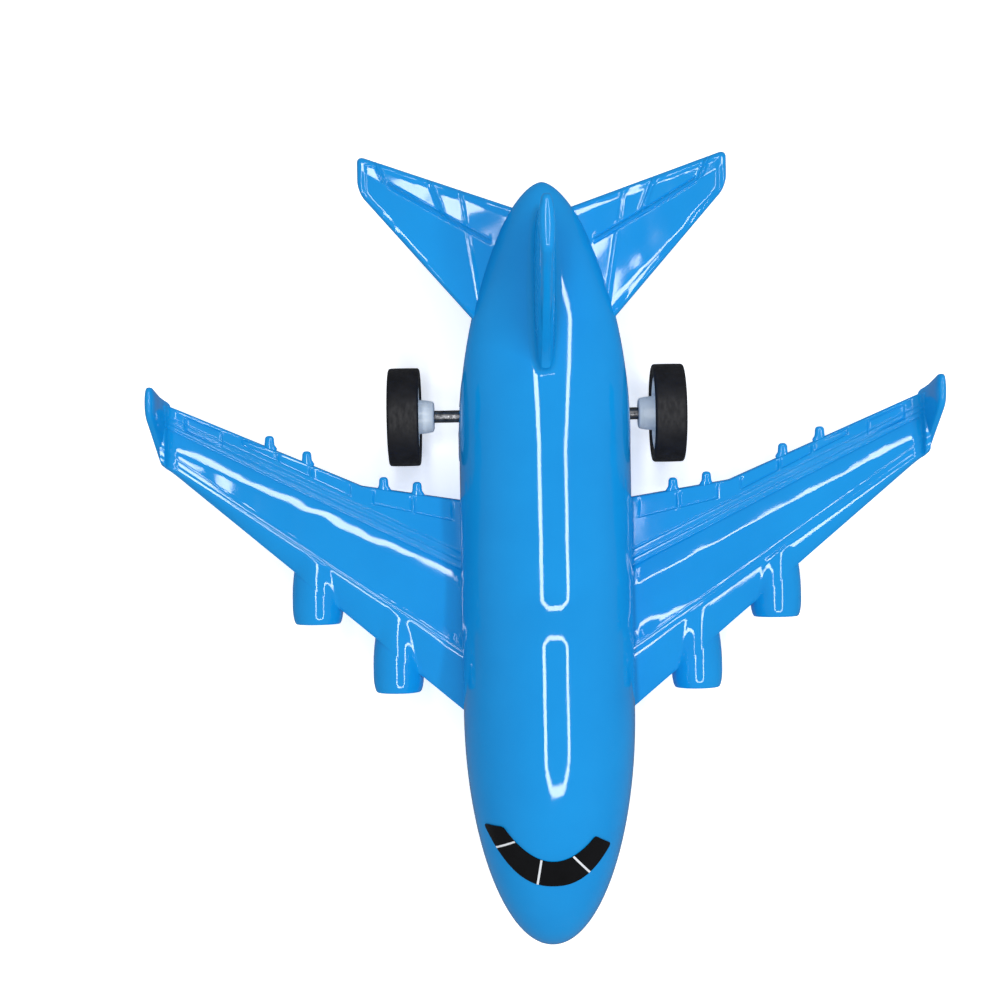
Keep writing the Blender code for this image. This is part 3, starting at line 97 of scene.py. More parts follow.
# The slope and width of the panel's front at the root. Its rear: (mm behind the fall's start, slope).
PANEL_SLOPE, FRONT_WIDTH = 0.228, 2.8
REAR_START = 5.3
REAR_SLOPES = ((0.0, 0.0), (0.9, 0.178), (3.7, 0.238), (REAR_START, 0.34))
# The bevel's slopes at its top and a short way down.
BEVEL_SLOPES, BEVEL_NEAR = (0.202, 0.230), 2.2
FLAPS = ((22.4, 31.4), (32.3, 41.2), (46.8, 55.6), (56.4, 63.4), (64.2, 72.0))
FLAP_DEPTH, FLAP_TAPER = (5.3, 1.9), 52.0
FLAP_SINK, FLAP_GROOVE = 0.12, 0.9
TIP_PANEL = (77.0, 85.5)
# The underside's bays lie between ribs at these x, and behind and ahead of solid edges.
BAYS = (26.0, 45.5, 65.0, 78.0, 88.0)
RIB_HALF, BAY_FRONT, BAY_REAR, BAY_SKIN = 0.6, 5.28, 2.4, 1.5
PYLON_HALF = 5.6
WINGLET_THICK, WINGLET_HEIGHT, WINGLET_TOP_Y = 2.4, 12.0, (34.0, 41.2)
TIP_SWEEP = 2.6
SWEEP_X = WING_X[1] - WINGLET_THICK - TIP_SWEEP

# ---- engines and fairings
NACELLES = {"inner": 36.2, "outer": 55.3}
NACELLE_REACH = {"inner": 9.0, "outer": 8.4}
NACELLE_R, NACELLE_LENGTH, NACELLE_DROP = 6.1, 25.0, 2.9
INTAKE_R, INTAKE_DEPTH = 4.9, 12.0
LIP_R, LIP_LENGTH = INTAKE_R + 0.2, 4.2
FAIRING_XS = (30.8, 38.8, 57.0, 65.8)
# A fairing's stations: (y behind the trailing edge, half width, half height).
FAIRING = (
    (-2.2, 0.9, 0.5), (-1.2, 1.5, 0.8), (-0.3, 1.8, 0.9), (0.2, 1.5, 0.92), (0.6, 1.22, 0.92),
    (1.1, 1.14, 0.9), (2.0, 1.08, 0.88), (2.35, 0.98, 0.8), (2.6, 0.8, 0.62), (2.76, 0.5, 0.38),
    (2.8, 0.2, 0.15),
)

# ---- tailplane: values at the root and the tip
TP_X = (7.0, 42.6)
TP_LE, TP_TE = (44.5, 85.0), (81.6, 93.4)
TP_THICK = (3.0, 2.2)
TP_SLOPE = math.tan(math.radians(6.2))
TP_TIP_ROUND = 1.6
TP_HINGE, TP_HINGE_X, TP_DIVIDERS = (0.69, 0.64), (12.0, 35.4), (22.0, 35.6)
TP_EDGE_SHARE = 0.42
TP_SINK, TP_WAVE, TP_GROOVE, TP_FALL = 0.18, 0.11, 0.26, 0.075

# ---- cockpit print: values at its rear and front edges
DECAL_HALF, DECAL_Y, DECAL_SWEEP = (11.4, 15.8), (-69.5, -75.5), (7.8, 13.7)
DECAL_SPAN = (-1.0, 0.84)           # its two ends, as shares of DECAL_HALF
DECAL_GAP, DECAL_THICK = 0.1, 0.2
DIVIDERS = ((-0.765, -0.82), (-0.245, -0.235), (0.385, 0.517))      # shares too
DIVIDER_HALF = 0.24
CORNER = 0.035

# ---- wheels
WHEEL_Y, WHEEL_Z = 34.0, 12.0
TYRE_R, TYRE_WIDTH = 12.0, 8.0
WHEEL_X = 32.2
AXLE_OFFSET = -1.7
AXLE_R = 1.5
NOSE_WHEEL_Y, NOSE_WHEEL_R = -62.0, 6.0

# ---- ring of lights, floor and camera
RING_X, RING_Y, RING_Z = (-134, 364), (-398, 338), 700
STRIP, CORNER_CUT = 56, 120
RING_POWER = 4.9e-5                 # watts per square millimetre
FLOOR_HALF = 30000
CAMERA_AT, CAMERA_TURN, CAMERA_LENS = (-10.9, 13.35, 480.0), -1.0, 68.8


def mix(a, b, t):
    return a + (b - a) * t


def clamp(t, low=0.0, high=1.0):
    return min(high, max(low, t))


def smooth(t):
    t = clamp(t)
    return t * t * (3.0 - 2.0 * t)


def bump_at(distance, width):
    """A rounded bump of height 1 at distance 0 that ends at +-width."""
    return smooth(1.0 - abs(distance) / width)


def groove(size, distance):
    """The depth, at a distance from its middle, of a rounded groove given as depth and half width."""
    depth, half = size
    return depth * bump_at(distance, half)


def smooth_max(a, b, k):
    """The larger of two heights, blended over a difference of k."""
    h = max(k - abs(a - b), 0.0) / k
    return max(a, b) + h * h * k * 0.25


# ==== fuselage functions
def nose_share(y):
    return clamp((NOSE_SHOULDER_Y - y) / (NOSE_SHOULDER_Y - NOSE_TIP_Y))


def tail_share(y):
    return clamp((y - TAIL_SHOULDER_Y) / (TAIL_END_Y - TAIL_SHOULDER_Y))


def half_width(y):
    return HALF_WIDTH * (1 - nose_share(y) ** 1.92) ** 0.5 * (1 - tail_share(y) ** 1.6) ** 0.59


def seam_z(y):
    nose = (NOSE_TIP_Z - SEAM_Z) * nose_share(y) ** 2
    low, high = SEAM_RISE_Y
    return SEAM_Z + nose + (TAIL_END_Z - SEAM_Z) * smooth((y - low) / (high - low))


def hump(y):
    start, full = HUMP_Y
    return HUMP_RISE * smooth((start - y) / (start - full))


def crown_z(y):
    top = CROWN_Z + hump(y)
    if y < NOSE_SHOULDER_Y:
        return mix(NOSE_TIP_Z, top, (1 - nose_share(y) ** 2) ** 0.55)
    return mix(TAIL_END_Z, top, (1 - tail_share(y) ** 3) ** 0.5)


def keel_z(y):
    if y < NOSE_SHOULDER_Y:
        return mix(NOSE_TIP_Z, KEEL_Z, (1 - nose_share(y) ** 2.4) ** 0.6)
    share = clamp((y - KEEL_RISE_FROM_Y) / (TAIL_END_Y - KEEL_RISE_FROM_Y))
    return mix(TAIL_END_Z, KEEL_Z, (1 - share ** 1.3) ** 0.75)


def section_point(y, angle, inset=0.0):
    """A point on the fuselage's skin, or inside it by inset."""
    low, high = NOSE_TIP_Y + inset, TAIL_END_Y - inset
    y = clamp(y, low, high)
    c, s = math.cos(angle), math.sin(angle)
    middle = seam_z(y)
    wide = max(half_width(y) - inset, 0.02)
    if s >= 0:
        return (wide * c, y, middle + max(crown_z(y) - inset - middle, 0.02) * s)
    down = max(middle - keel_z(y) - inset, 0.02)
    x = math.copysign(abs(c) ** (2 / SQUARENESS), c)
    return (wide * x, y, middle - down * abs(s) ** (2 / SQUARENESS))


def surface_z(x, y):
    share = clamp(abs(x) / max(half_width(y), 0.01))
    return seam_z(y) + (crown_z(y) - seam_z(y)) * math.sqrt(1 - share * share)


def surface_normal(x, y):
    e = 0.05
    dx = (surface_z(x + e, y) - surface_z(x - e, y)) / (2 * e)
    dy = (surface_z(x, y + e) - surface_z(x, y - e)) / (2 * e)
    return Vector((-dx, -dy, 1)).normalized()


# ==== wing functions
def span_share(x):
    return (x - WING_X[0]) / (WING_X[1] - WING_X[0])


def wing_le(x):
    return mix(*WING_LE, span_share(x))


def wing_te(x):
    if x < KINK_X:
        return mix(WING_TE[0], WING_TE[1], (x - WING_X[0]) / (KINK_X - WING_X[0]))
    return mix(WING_TE[1], WING_TE[2], (x - KINK_X) / (WING_X[1] - KINK_X))


def wing_thick(x):
    return mix(*WING_THICK, clamp(span_share(x)))


def wing_low(x):
    return WING_LOW_Z + WING_SLOPE * (x - WING_X[0])


def wing_line(pair, x):
    """y of a line across the wing, given at the root and the tip."""
    return mix(*pair, span_share(x))


# ==== mesh helpers
def mesh_from(name, work):
    """Turns a bmesh in millimetres into a mesh in metres and frees it."""
    bmesh.ops.recalc_face_normals(work, faces=work.faces)
    mesh = bpy.data.meshes.new(name)
    work.to_mesh(mesh)
    work.free()
    mesh.transform(Matrix.Scale(MM, 4))
    return mesh


def add_object(name, data):
    obj = bpy.data.objects.new(name, data)
    bpy.context.scene.collection.objects.link(obj)
    return obj


def shade(mesh, sharp):
    """Smooth shading, with edges sharper than an angle in degrees kept sharp."""
    mesh.shade_smooth()
    mesh.set_sharp_from_angle(angle=math.radians(sharp))


def new_piece(name, work, body, materials, replaced=(), sharp=30.0):
    """Makes an object from a bmesh that rides on a body and stands for CAD nodes."""
    mesh = mesh_from(name, work)
    for material in materials:
        mesh.materials.append(material)
    shade(mesh, sharp)
    obj = add_object(name, mesh)
    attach(obj, body)
    if replaced:
        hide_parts(*replaced)
    return obj


def add_loft(work, rings, capped=True):
    """Adds a skin through rings of equal length to a bmesh, and flat ends if it is capped."""
    rows = [[work.verts.new(point) for point in ring] for ring in rings]
    count = len(rows[0])
    for near, far in zip(rows, rows[1:]):
        for i in range(count):
            j = (i + 1) % count
            work.faces.new((near[i], near[j], far[j], far[i]))
    if capped:
        work.faces.new(rows[0])
        work.faces.new(rows[-1])
    return rows


def add_turned(work, profile, centre, axis, steps, start=0.0, sweep=2 * math.pi):
    """Adds a solid turned from a closed (radius, height) profile, or a part turn with flat ends."""
    full = abs(sweep - 2 * math.pi) < 1e-6
    count = steps if full else steps + 1
    rings = []
    for i in range(count):
        angle = start + sweep * i / steps
        c, s = math.cos(angle), math.sin(angle)
        ring = []
        for radius, height in profile:
            a, b = radius * c, radius * s
            offset = {"X": (height, a, b), "Y": (a, height, b), "Z": (a, b, height)}[axis]
            ring.append(tuple(p + q for p, q in zip(centre, offset)))
        rings.append(ring)
    if full:
        rings.append(rings[0])
    rows = add_loft(work, rings, not full)
    if full:
        bmesh.ops.remove_doubles(work, verts=rows[0] + rows[-1], dist=1e-6)
    left = [v for row in rows for v in row if v.is_valid]
    bmesh.ops.remove_doubles(work, verts=left, dist=1e-5)


def rounded(points, radius):
    """A (radius, height) outline from (r, h, share) points, each rounded by its share of a radius."""
    result, steps = [], 3
    count = len(points)
    for i, (r, h, share) in enumerate(points):
        if not share:
            result.append((r, h))
            continue
        here = Vector((r, h))
        before = Vector(points[i - 1][:2]) - here
        after = Vector(points[(i + 1) % count][:2]) - here
        reach = min(radius * share, before.length * 0.49, after.length * 0.49)
        a, b = here + before.normalized() * reach, here + after.normalized() * reach
        for k in range(steps + 1):
            t = k / steps
            point = a.lerp(here, t).lerp(here.lerp(b, t), t)
            result.append((point.x, point.y))
    return result


def boolean(obj, operation, *tools):
    """Applies exact Booleans to a plain mesh object and removes the tools."""
    for tool in tools:
        modifier = obj.modifiers.new("cut", "BOOLEAN")
        modifier.operation, modifier.object, modifier.solver = operation, tool, "EXACT"
    bpy.context.view_layer.update()
    graph = bpy.context.evaluated_depsgraph_get()
    obj.data = bpy.data.meshes.new_from_object(obj.evaluated_get(graph))
    obj.modifiers.clear()
    for tool in tools:
        bpy.data.objects.remove(tool)
    shade(obj.data, 30.0)


def tool_from(name, work):
    """A plain mesh object for a Boolean."""
    return add_object(name, mesh_from(name, work))


def round_tool(name, axis, radius, foot, length, steps=48):
    work = bmesh.new()
    add_turned(work, [(0, 0), (radius, 0), (radius, length), (0, length)], foot, axis, steps)
    return tool_from(name, work)


def box_tool(name, low, high):
    work = bmesh.new()
    ring = [(low[0], low[1]), (high[0], low[1]), (high[0], high[1]), (low[0], high[1])]
    add_loft(work, [[(x, y, z) for x, y in ring] for z in (low[2], high[2])])
    return tool_from(name, work)


# ==== materials
def mapped(tree, scale):
    """Object coordinates, in metres, times scale."""
    place = tree.nodes.new("ShaderNodeTexCoord")
    mapping = tree.nodes.new("ShaderNodeMapping")
    mapping.inputs["Scale"].default_value = scale
    tree.links.new(place.outputs["Object"], mapping.inputs["Vector"])
    return mapping.outputs["Vector"]


def noise_node(tree, scale, detail, stretch=(1, 1, 1)):
    node = tree.nodes.new("ShaderNodeTexNoise")
    node.inputs["Scale"].default_value = scale
    node.inputs["Detail"].default_value = detail
    tree.links.new(mapped(tree, stretch), node.inputs["Vector"])
    return node.outputs["Fac"]


def ramp(tree, source, low, high, a, b):
    """Maps source from low..high to a..b."""
    node = tree.nodes.new("ShaderNodeMapRange")
    node.inputs["From Min"].default_value = low
    node.inputs["From Max"].default_value = high
    node.inputs["To Min"].default_value = a
    node.inputs["To Max"].default_value = b
    tree.links.new(source, node.inputs["Value"])
    return node.outputs["Result"]


def colour_mix(tree, factor, a, b):
    node = tree.nodes.new("ShaderNodeMix")
    node.data_type = "RGBA"
    node.inputs["A"].default_value = (*a, 1)
    node.inputs["B"].default_value = (*b, 1)
    tree.links.new(factor, node.inputs["Factor"])
    return node.outputs["Result"]


def bumped(tree, layers):
    """A normal from (height source, depth in metres) layers."""
    normal = None
    for source, depth in layers:
        node = tree.nodes.new("ShaderNodeBump")
        node.inputs["Strength"].default_value = 1.0
        node.inputs["Distance"].default_value = depth
        tree.links.new(source, node.inputs["Height"])
        if normal:
            tree.links.new(normal, node.inputs["Normal"])
        normal = node.outputs["Normal"]
    return normal


def material(name, colours, rough, bumps, spots=260.0, **sockets):
    """A Principled material whose colour and roughness each wander between two values over a noise.

    Bumps are (noise scale, detail, stretch, depth in metres), and spots is the colour noise's scale.
    Sockets are the shader's other values, with _ for each space in a name.
    """
    made = bpy.data.materials.new(name)
    made.use_nodes = True
    tree = made.node_tree
    shader = tree.nodes["Principled BSDF"]
    for socket, value in sockets.items():
        shader.inputs[socket.replace("_", " ")].default_value = value
    cloud = noise_node(tree, spots, 3.0)
    tint = colour_mix(tree, ramp(tree, cloud, 0.3, 0.7, 0.0, 1.0), *colours)
    tree.links.new(tint, shader.inputs["Base Color"])
    smear = noise_node(tree, spots * 3.1, 4.0, (1.0, 0.35, 1.0))
    tree.links.new(ramp(tree, smear, 0.35, 0.7, *rough), shader.inputs["Roughness"])
    layers = []
    for scale, detail, stretch, depth in bumps:
        layers.append((noise_node(tree, scale, detail, stretch), depth))
    tree.links.new(bumped(tree, layers), shader.inputs["Normal"])
    return made


EVEN = (1, 1, 1)
BLUE = material(
    "gloss_blue_plastic",
    ((0.0035, 0.268, 0.69), (0.0050, 0.292, 0.73)),
    (0.035, 0.085),
    [(70.0, 1.0, EVEN, 0.00009), (1500.0, 2.0, EVEN, 0.0000012)],
    spots=55.0,
    IOR=1.5,
)
PRINT = material(
    "gloss_black_print", ((0.0015, 0.0015, 0.002), (0.003, 0.003, 0.004)), (0.08, 0.2),
    [(300.0, 1.0, EVEN, 0.00002)], Specular_IOR_Level=0.25,
)
WHITE_PRINT = material(
    "white_print", ((0.80, 0.82, 0.85), (0.72, 0.75, 0.80)), (0.2, 0.35), [(300.0, 1.0, EVEN, 0.00002)],
)
RUBBER = material(
    "black_tyre_rubber", ((0.004, 0.004, 0.006), (0.010, 0.010, 0.013)), (0.45, 0.7),
    [(2600.0, 3.0, EVEN, 0.000018), (240.0, 2.0, EVEN, 0.00006)], spots=420.0, Specular_IOR_Level=0.28,
)
GREY = material(
    "grey_hub_plastic", ((0.58, 0.66, 0.73), (0.66, 0.73, 0.80)), (0.24, 0.40),
    [(900.0, 2.0, EVEN, 0.000012)], spots=180.0,
)
STEEL = material(
    "drawn_steel", ((0.07, 0.073, 0.08), (0.20, 0.20, 0.21)), (0.26, 0.46),
    [(1800.0, 3.0, (0.12, 1, 1), 0.00001)], spots=900.0, Metallic=1.0,
)
ACETAL = material(
    "white_gear_plastic", ((0.72, 0.71, 0.66), (0.80, 0.79, 0.75)), (0.34, 0.50),
    [(1200.0, 2.0, EVEN, 0.00001)],
)
BLACK = material(
    "black_motor_plastic", ((0.014, 0.014, 0.015), (0.026, 0.026, 0.028)), (0.30, 0.50),
    [(1600.0, 3.0, EVEN, 0.00002)],
)


# ==== fuselage shells
def body_ys():
    """Stations along the fuselage, closer together at both ends and over the hump."""
    nose = NOSE_SHOULDER_Y - NOSE_TIP_Y
    tail = TAIL_END_Y - TAIL_SHOULDER_Y
    ends = [math.sin(math.radians(a)) for a in [3 * i for i in range(1, 29)] + [86, 87.5, 88.6]]
    ys = [NOSE_SHOULDER_Y - nose * s for s in ends] + [TAIL_SHOULDER_Y + tail * s for s in ends]
    ys += [mix(NOSE_SHOULDER_Y, TAIL_SHOULDER_Y, i / 56) for i in range(57)]
    return sorted(ys)


def half_shell(work, upper):
    """One half of the fuselage as a closed shell, from the seam over the crown or under the keel."""
    sign = 1 if upper else -1
    angles = [math.pi * i / ARC_STEPS * sign for i in range(ARC_STEPS + 1)]
    rings = []
    for y in body_ys():
        # The seam's gap closes at the nose.
        lift = sign * SEAM_GAP / 2 * clamp((y - NOSE_FLAT_Y) / SEAM_GAP_RUN)
        out = [section_point(y, a) for a in angles]
        inner = [section_point(y, a, WALL) for a in reversed(angles)]
        edge = seam_z(y) + lift
        ring = []
        for x, py, z in out + inner:
            ring.append((x, max(py, NOSE_FLAT_Y), max(z, edge) if upper else min(z, edge)))
        # The outer edge is drawn in a little at the seam.
        for i in (0, ARC_STEPS):
            x, py, z = ring[i]
            ring[i] = (x * (1 - 0.012), py, z)
        rings.append(ring)
    add_loft(work, rings)


def fin_outline(t, grow):
    """The fin's outline at height share t, grown outwards: a long lens with a blunt front."""
    count = 40
    front, back = mix(*FIN_LE, t) - grow, mix(*FIN_TE, t) + grow
    thick = mix(*FIN_THICK, t) / 2 + grow
    points = []
    for i in range(count):
        a = 2 * math.pi * i / count
        along = (1 - math.cos(a)) / 2
        side = math.sin(a)
        width = math.copysign(abs(side) ** 0.55, side) * mix(1.0, 0.86, along)
        points.append((thick * width, mix(front, back, along)))
    return points


def add_fin(work):
    rings = []
    # The root flares out tangent to the crown.
    for i in range(7):
        a = math.radians(90 * i / 6)
        grow = FIN_FILLET * (1 - math.sin(a))
        rise = FIN_FILLET * (1 - math.cos(a))
        ring = []
        for x, y in fin_outline(0.0, grow):
            ring.append((x, y, surface_z(x, y) - 0.04 + rise))
        rings.append(ring)
    for t in [0.1, 0.25, 0.4, 0.55, 0.7, 0.82, 0.9]:
        z = mix(CROWN_Z, FIN_TOP_Z, t)
        rings.append([(x, y, z) for x, y in fin_outline(t, 0.0)])
    # The top edge is rounded over.
    for i in range(7):
        a = math.radians(90 * i / 6)
        shrink = FIN_ROUND * (1 - math.cos(a))
        z = FIN_TOP_Z - FIN_ROUND * (1 - math.sin(a))
        t = (z - CROWN_Z) / (FIN_TOP_Z - CROWN_Z)
        rings.append([(x, y, z) for x, y in fin_outline(t, -shrink)])
    add_loft(work, rings)


def build_upper():
    work = bmesh.new()
    half_shell(work, True)
    add_fin(work)
    # The curved tongues that close the axle's slots from above.
    for side in (-1, 1):
        rings = []
        for y in (WHEEL_Y - 1.8, WHEEL_Y - 0.6, WHEEL_Y + 0.6, WHEEL_Y + 1.8):
            ring = []
            for inset, order in ((0.0, 1), (WALL, -1)):
                points = []
                for i in range(9):
                    z = mix(seam_z(y) + 0.1, WHEEL_Z + AXLE_R + 0.6, i / 8)
                    share = clamp((seam_z(y) - z) / (seam_z(y) - keel_z(y)))
                    x = half_width(y) * (1 - share ** SQUARENESS) ** (1 / SQUARENESS) - inset
                    points.append((side * x, y, z))
                ring += points[::order]
            rings.append(ring)
        add_loft(work, rings)
    new_piece("upper_moulding", work, "fuselage", [BLUE], ["upper_shell"])


def wheel_pad(side):
    """A round pad on the body behind a drive wheel, cut off at its foot."""
    work = bmesh.new()
    lean_from, lean_to = PAD_LEAN_Z
    # Each ring's radius, its share of the way out to the pad's face, and how far it is past that.
    stations = ((PAD_R, 0, 0), (PAD_R, 1, 0), (10.7, 1, 0.03), (10.2, 1, 0.05), (6.0, 1, 0.05))
    rings = []
    for radius, out, past in stations:
        ring = []
        for i in range(64):
            a = 2 * math.pi * i / 64
            y, z = WHEEL_Y + radius * math.cos(a), WHEEL_Z + radius * math.sin(a)
            # The face leans in above the axle, and follows the body where that narrows.
            face = HALF_WIDTH + PAD_PROUD - PAD_LEAN * clamp((z - lean_from) / (lean_to - lean_from)) ** 1.5
            face = min(face, half_width(y) + 0.3)
            ring.append((side * (mix(HALF_WIDTH - PAD_INSET_X, face, out) + past), y, z))
        rings.append(ring)
    add_loft(work, rings)
    pad = tool_from("pad", work)
    boolean(pad, "DIFFERENCE", box_tool("pad_foot", (-30, 10, -10), (30, 60, PAD_FOOT_Z)))
    return pad


def nose_lug():
    """The lug that holds the nose wheels' pin."""
    work = bmesh.new()
    top = keel_z(NOSE_WHEEL_Y) + 1.0
    arc = [(math.cos(a), math.sin(a)) for a in [math.pi * (1 + i / 12) for i in range(13)]]
    outline = [(NOSE_WHEEL_Y + LUG_R * c, NOSE_WHEEL_R + LUG_R * s) for c, s in arc]
    outline += [(NOSE_WHEEL_Y + LUG_R, top), (NOSE_WHEEL_Y - LUG_R, top)]
    add_loft(work, [[(x, y, z) for y, z in outline] for x in (-LUG_X, LUG_X)])
    return tool_from("lug", work)


def on_side(xs, side):
    """The low end and the length, on either side, of a span of x given for the right side."""
    return (xs[0] if side > 0 else -xs[1]), xs[1] - xs[0]


def axle_cuts():
    """Slots that let the axle in from above, with a round seat at the foot of each."""
    cuts = []
    for side in (-1, 1):
        low, length = on_side(AXLE_SLOT_X, side)
        front, back = WHEEL_Y - AXLE_SLOT_HALF, WHEEL_Y + AXLE_SLOT_HALF
        cuts.append(box_tool("slot", (low, front, WHEEL_Z), (low + length, back, AXLE_SLOT_TOP)))
        cuts.append(round_tool("seat", "X", AXLE_SLOT_HALF, (low, WHEEL_Y, WHEEL_Z), length))
    return cuts


def belly_cuts():
    """Wells and a pin hole for the nose wheels, the motor's opening and the screw holes."""
    cuts = []
    for side in (-1, 1):
        low, length = on_side(WELL_X, side)
        cuts.append(round_tool("well", "X", WELL_R, (low, NOSE_WHEEL_Y, NOSE_WHEEL_R), length, 64))
    cuts.append(round_tool("pin_hole", "X", LUG_HOLE_R, (-7, NOSE_WHEEL_Y, NOSE_WHEEL_R), 14, 24))
    (left, right), half = CASE_HOLE_X, CASE_HOLE_HALF
    cuts.append(box_tool("case_hole", (left, WHEEL_Y - half, -2), (right, WHEEL_Y + half, CASE_HOLE_TOP)))
    for y in SCREW_YS:
        height = seam_z(y) - SCREW_SEAT_DROP
        cuts.append(round_tool("screw_hole", "Z", SCREW_HOLE_R, (0, y, -5), height + 5))
    return cuts


def build_lower():
    work = bmesh.new()
    half_shell(work, False)
    lower = new_piece("lower_moulding", work, "fuselage", [BLUE], ["lower_shell"])
    boolean(lower, "UNION", wheel_pad(-1), wheel_pad(1), nose_lug())
    boolean(lower, "DIFFERENCE", *axle_cuts(), *belly_cuts())
    # Walls of the three screw wells, seen inside the holes.
    work = bmesh.new()
    hole, well, shank = SCREW_HOLE_R, SCREW_WELL_R, SCREW_SHANK_R
    for y in SCREW_YS:
        low, seat = keel_z(y) + WALL / 2, seam_z(y) - SCREW_SEAT_DROP
        top = seat + SCREW_WELL_RISE
        outline = [(hole, low), (well, low), (well, top), (shank, top), (shank, seat), (hole, seat)]
        add_turned(work, outline, (0, y, 0), "Z", 40)
    new_piece("screw_wells", work, "fuselage", [BLUE])


# ==== blades: wings and tailplane
def add_blade(work, xs, rows_at, top, bottom):
    """A closed solid between two height fields that share their first and last rows."""
    columns = [[(x, y) for y in rows_at(x)] for x in xs]
    upper = [[work.verts.new((x, y, top(x, y))) for x, y in column] for column in columns]
    lower = []
    for column, above in zip(columns, upper):
        below = [above[0]]
        below += [work.verts.new((x, y, bottom(x, y))) for x, y in column[1:-1]]
        lower.append(below + [above[-1]])
    for sheet in (upper, lower):
        for near, far in zip(sheet, sheet[1:]):
            for i in range(len(near) - 1):
                corners = (near[i], near[i + 1], far[i + 1], far[i])
                if len(set(corners)) == 4:
                    work.faces.new(corners)
    for side in (0, -1):
        above, below = upper[side], lower[side]
        for i in range(len(above) - 1):
            corners = [above[i], above[i + 1], below[i + 1], below[i]]
            unique = [v for k, v in enumerate(corners) if v not in corners[:k]]
            if len(unique) > 2:
                work.faces.new(unique)


def wing_rows(x):
    """y places from the leading to the trailing edge, clustered at the moulded lines."""
    le, te = wing_le(x), wing_te(x)
    step = max(wing_line(FRONT_STEP, x), le + 1.0)
    marks = [step]
    for pair in (PANEL_FRONT, PANEL_REAR, *REAR_LINES):
        marks.append(max(wing_line(pair, x), marks[-1] + 0.9))
    marks.append(max(te - flap_depth(x), marks[-1] + 1.0))
    ys = [le + LE_ROUND * (1 - math.cos(math.pi / 2 * i / 5)) for i in range(5)]
    ys += [mix(le + LE_ROUND, step - 0.4, i / 18) for i in range(18)]
    for near, far in zip(marks, marks[1:] + [te]):
        close = min(0.55, (far - near) / 3)
        ys += [near + close * s for s in (-0.6, -0.4, -0.2, 0.0, 0.2, 0.4, 0.6, 0.8)]
        inner = [near + close, far - close]
        count = 12 if near == marks[1] else 4
        ys += [mix(*inner, i / count) for i in range(count + 1)]
        if near == marks[1]:
            slope_start = max(far - REAR_START - 0.6, mix(near, far, 0.3))
            ys += [mix(slope_start, inner[1] - 0.05, i / 20) for i in range(20)]
    ys += [te - EDGE_ROUND * math.cos(math.pi / 2 * i / 5) for i in range(6)]
    return sorted(y for y in ys if le <= y <= te)


def flap_depth(x):
    """How far ahead of the trailing edge the flaps' front edges lie."""
    return mix(*FLAP_DEPTH, clamp((x - WING_X[0]) / FLAP_TAPER))


def wing_top(x, y):
    """The wing's upper skin, from the leading edge back."""
    le, te = wing_le(x), wing_te(x)
    low, thick = wing_low(x), wing_thick(x)
    step = max(wing_line(FRONT_STEP, x), le + 1.0)
    front, rear = wing_line(PANEL_FRONT, x), wing_line(PANEL_REAR, x)
    # Near the root the wing is raised ahead of the panel, whose front slopes down from it.
    wide = FRONT_WIDTH * smooth((37.0 - x) / 13.0) + 0.01
    lift = PANEL_SLOPE * wide * (1 - soft_ramp((y - front - 0.2) / wide, 0.3))
    edge, full = low + LE_SHARE * thick, low + TOP_SHARE * thick + lift
    # A bevel from the leading edge up to the front step, with the edge itself rounded.
    z = full - bevel_fall(clamp(step - y, 0.0, step - le), step - le, full - edge)
    z -= LE_DROP * smooth(1 - (y - le) / LE_ROUND)
    z -= groove(STEP_GROOVE, y - step - 0.1)
    # The panel: a shallow, slightly wavy recess whose rear falls away.
    inside = smooth((y - front) / 0.6 + 0.5) * smooth((rear - y) / 0.5 + 0.5)
    inside *= smooth((x - 21.0) / 0.7)
    z -= PANEL_DEPTH * inside
    z -= panel_fall(REAR_START - (rear - y)) + 0.05 * max(0.0, y - rear)
    z += PANEL_WAVE * inside * noise.noise(Vector((x * 0.16, y * 0.16, 3.0)))
    # Grooves behind the panel, and sunken flaps with a groove round each.
    z -= groove(REAR_GROOVE, y - rear - 0.1)
    for pair in REAR_LINES:
        z -= groove(LINE_GROOVE, y - wing_line(pair, x))
    mask = flap_mask(x, y)
    z -= FLAP_SINK * mask + FLAP_GROOVE * mask * (1 - mask)
    # Nacelles run back into the leading edge.
    for which, centre in NACELLES.items():
        across = x - centre
        if abs(across) < NACELLE_R:
            crest = wing_low(centre) - NACELLE_DROP + math.sqrt(NACELLE_R ** 2 - across ** 2)
            crest += 0.06 * (y - le) - 0.03
            fade = smooth((step + 0.2 - y) / 0.9)
            z = mix(z, smooth_max(z, crest, 0.9), fade)
    # The trailing edge is rounded.
    back = clamp((te - y) / EDGE_ROUND)
    z = mix(low + TE_SHARE * thick, z, math.sqrt(1 - (1 - back) ** 2))
    # The skin sweeps up into the winglet.
    reach = x - SWEEP_X
    if reach > 0:
        z += TIP_SWEEP - math.sqrt(max(0.0, TIP_SWEEP ** 2 - min(reach, TIP_SWEEP) ** 2))
    return z


def bevel_fall(distance, length, total):
    """How far the bevel has fallen at a distance ahead of the front step."""
    near = min(BEVEL_NEAR, 0.3 * length)
    top, low = BEVEL_SLOPES
    first = (top + low) / 2 * near
    if distance < near:
        return top * distance + (low - top) * distance * distance / (2 * near)
    rest, run = length - near, distance - near
    last = 2 * (total - first) / rest - low
    return first + low * run + (last - low) * run * run / (2 * rest)


def panel_fall(distance):
    """How far the panel has fallen at a distance behind the start of its rear slope."""
    fall = 0.0
    for (near, low), (far, high) in zip(REAR_SLOPES, REAR_SLOPES[1:]):
        run = clamp(distance - near, 0.0, far - near)
        fall += low * run + (high - low) / (far - near) * run * run / 2
    return fall


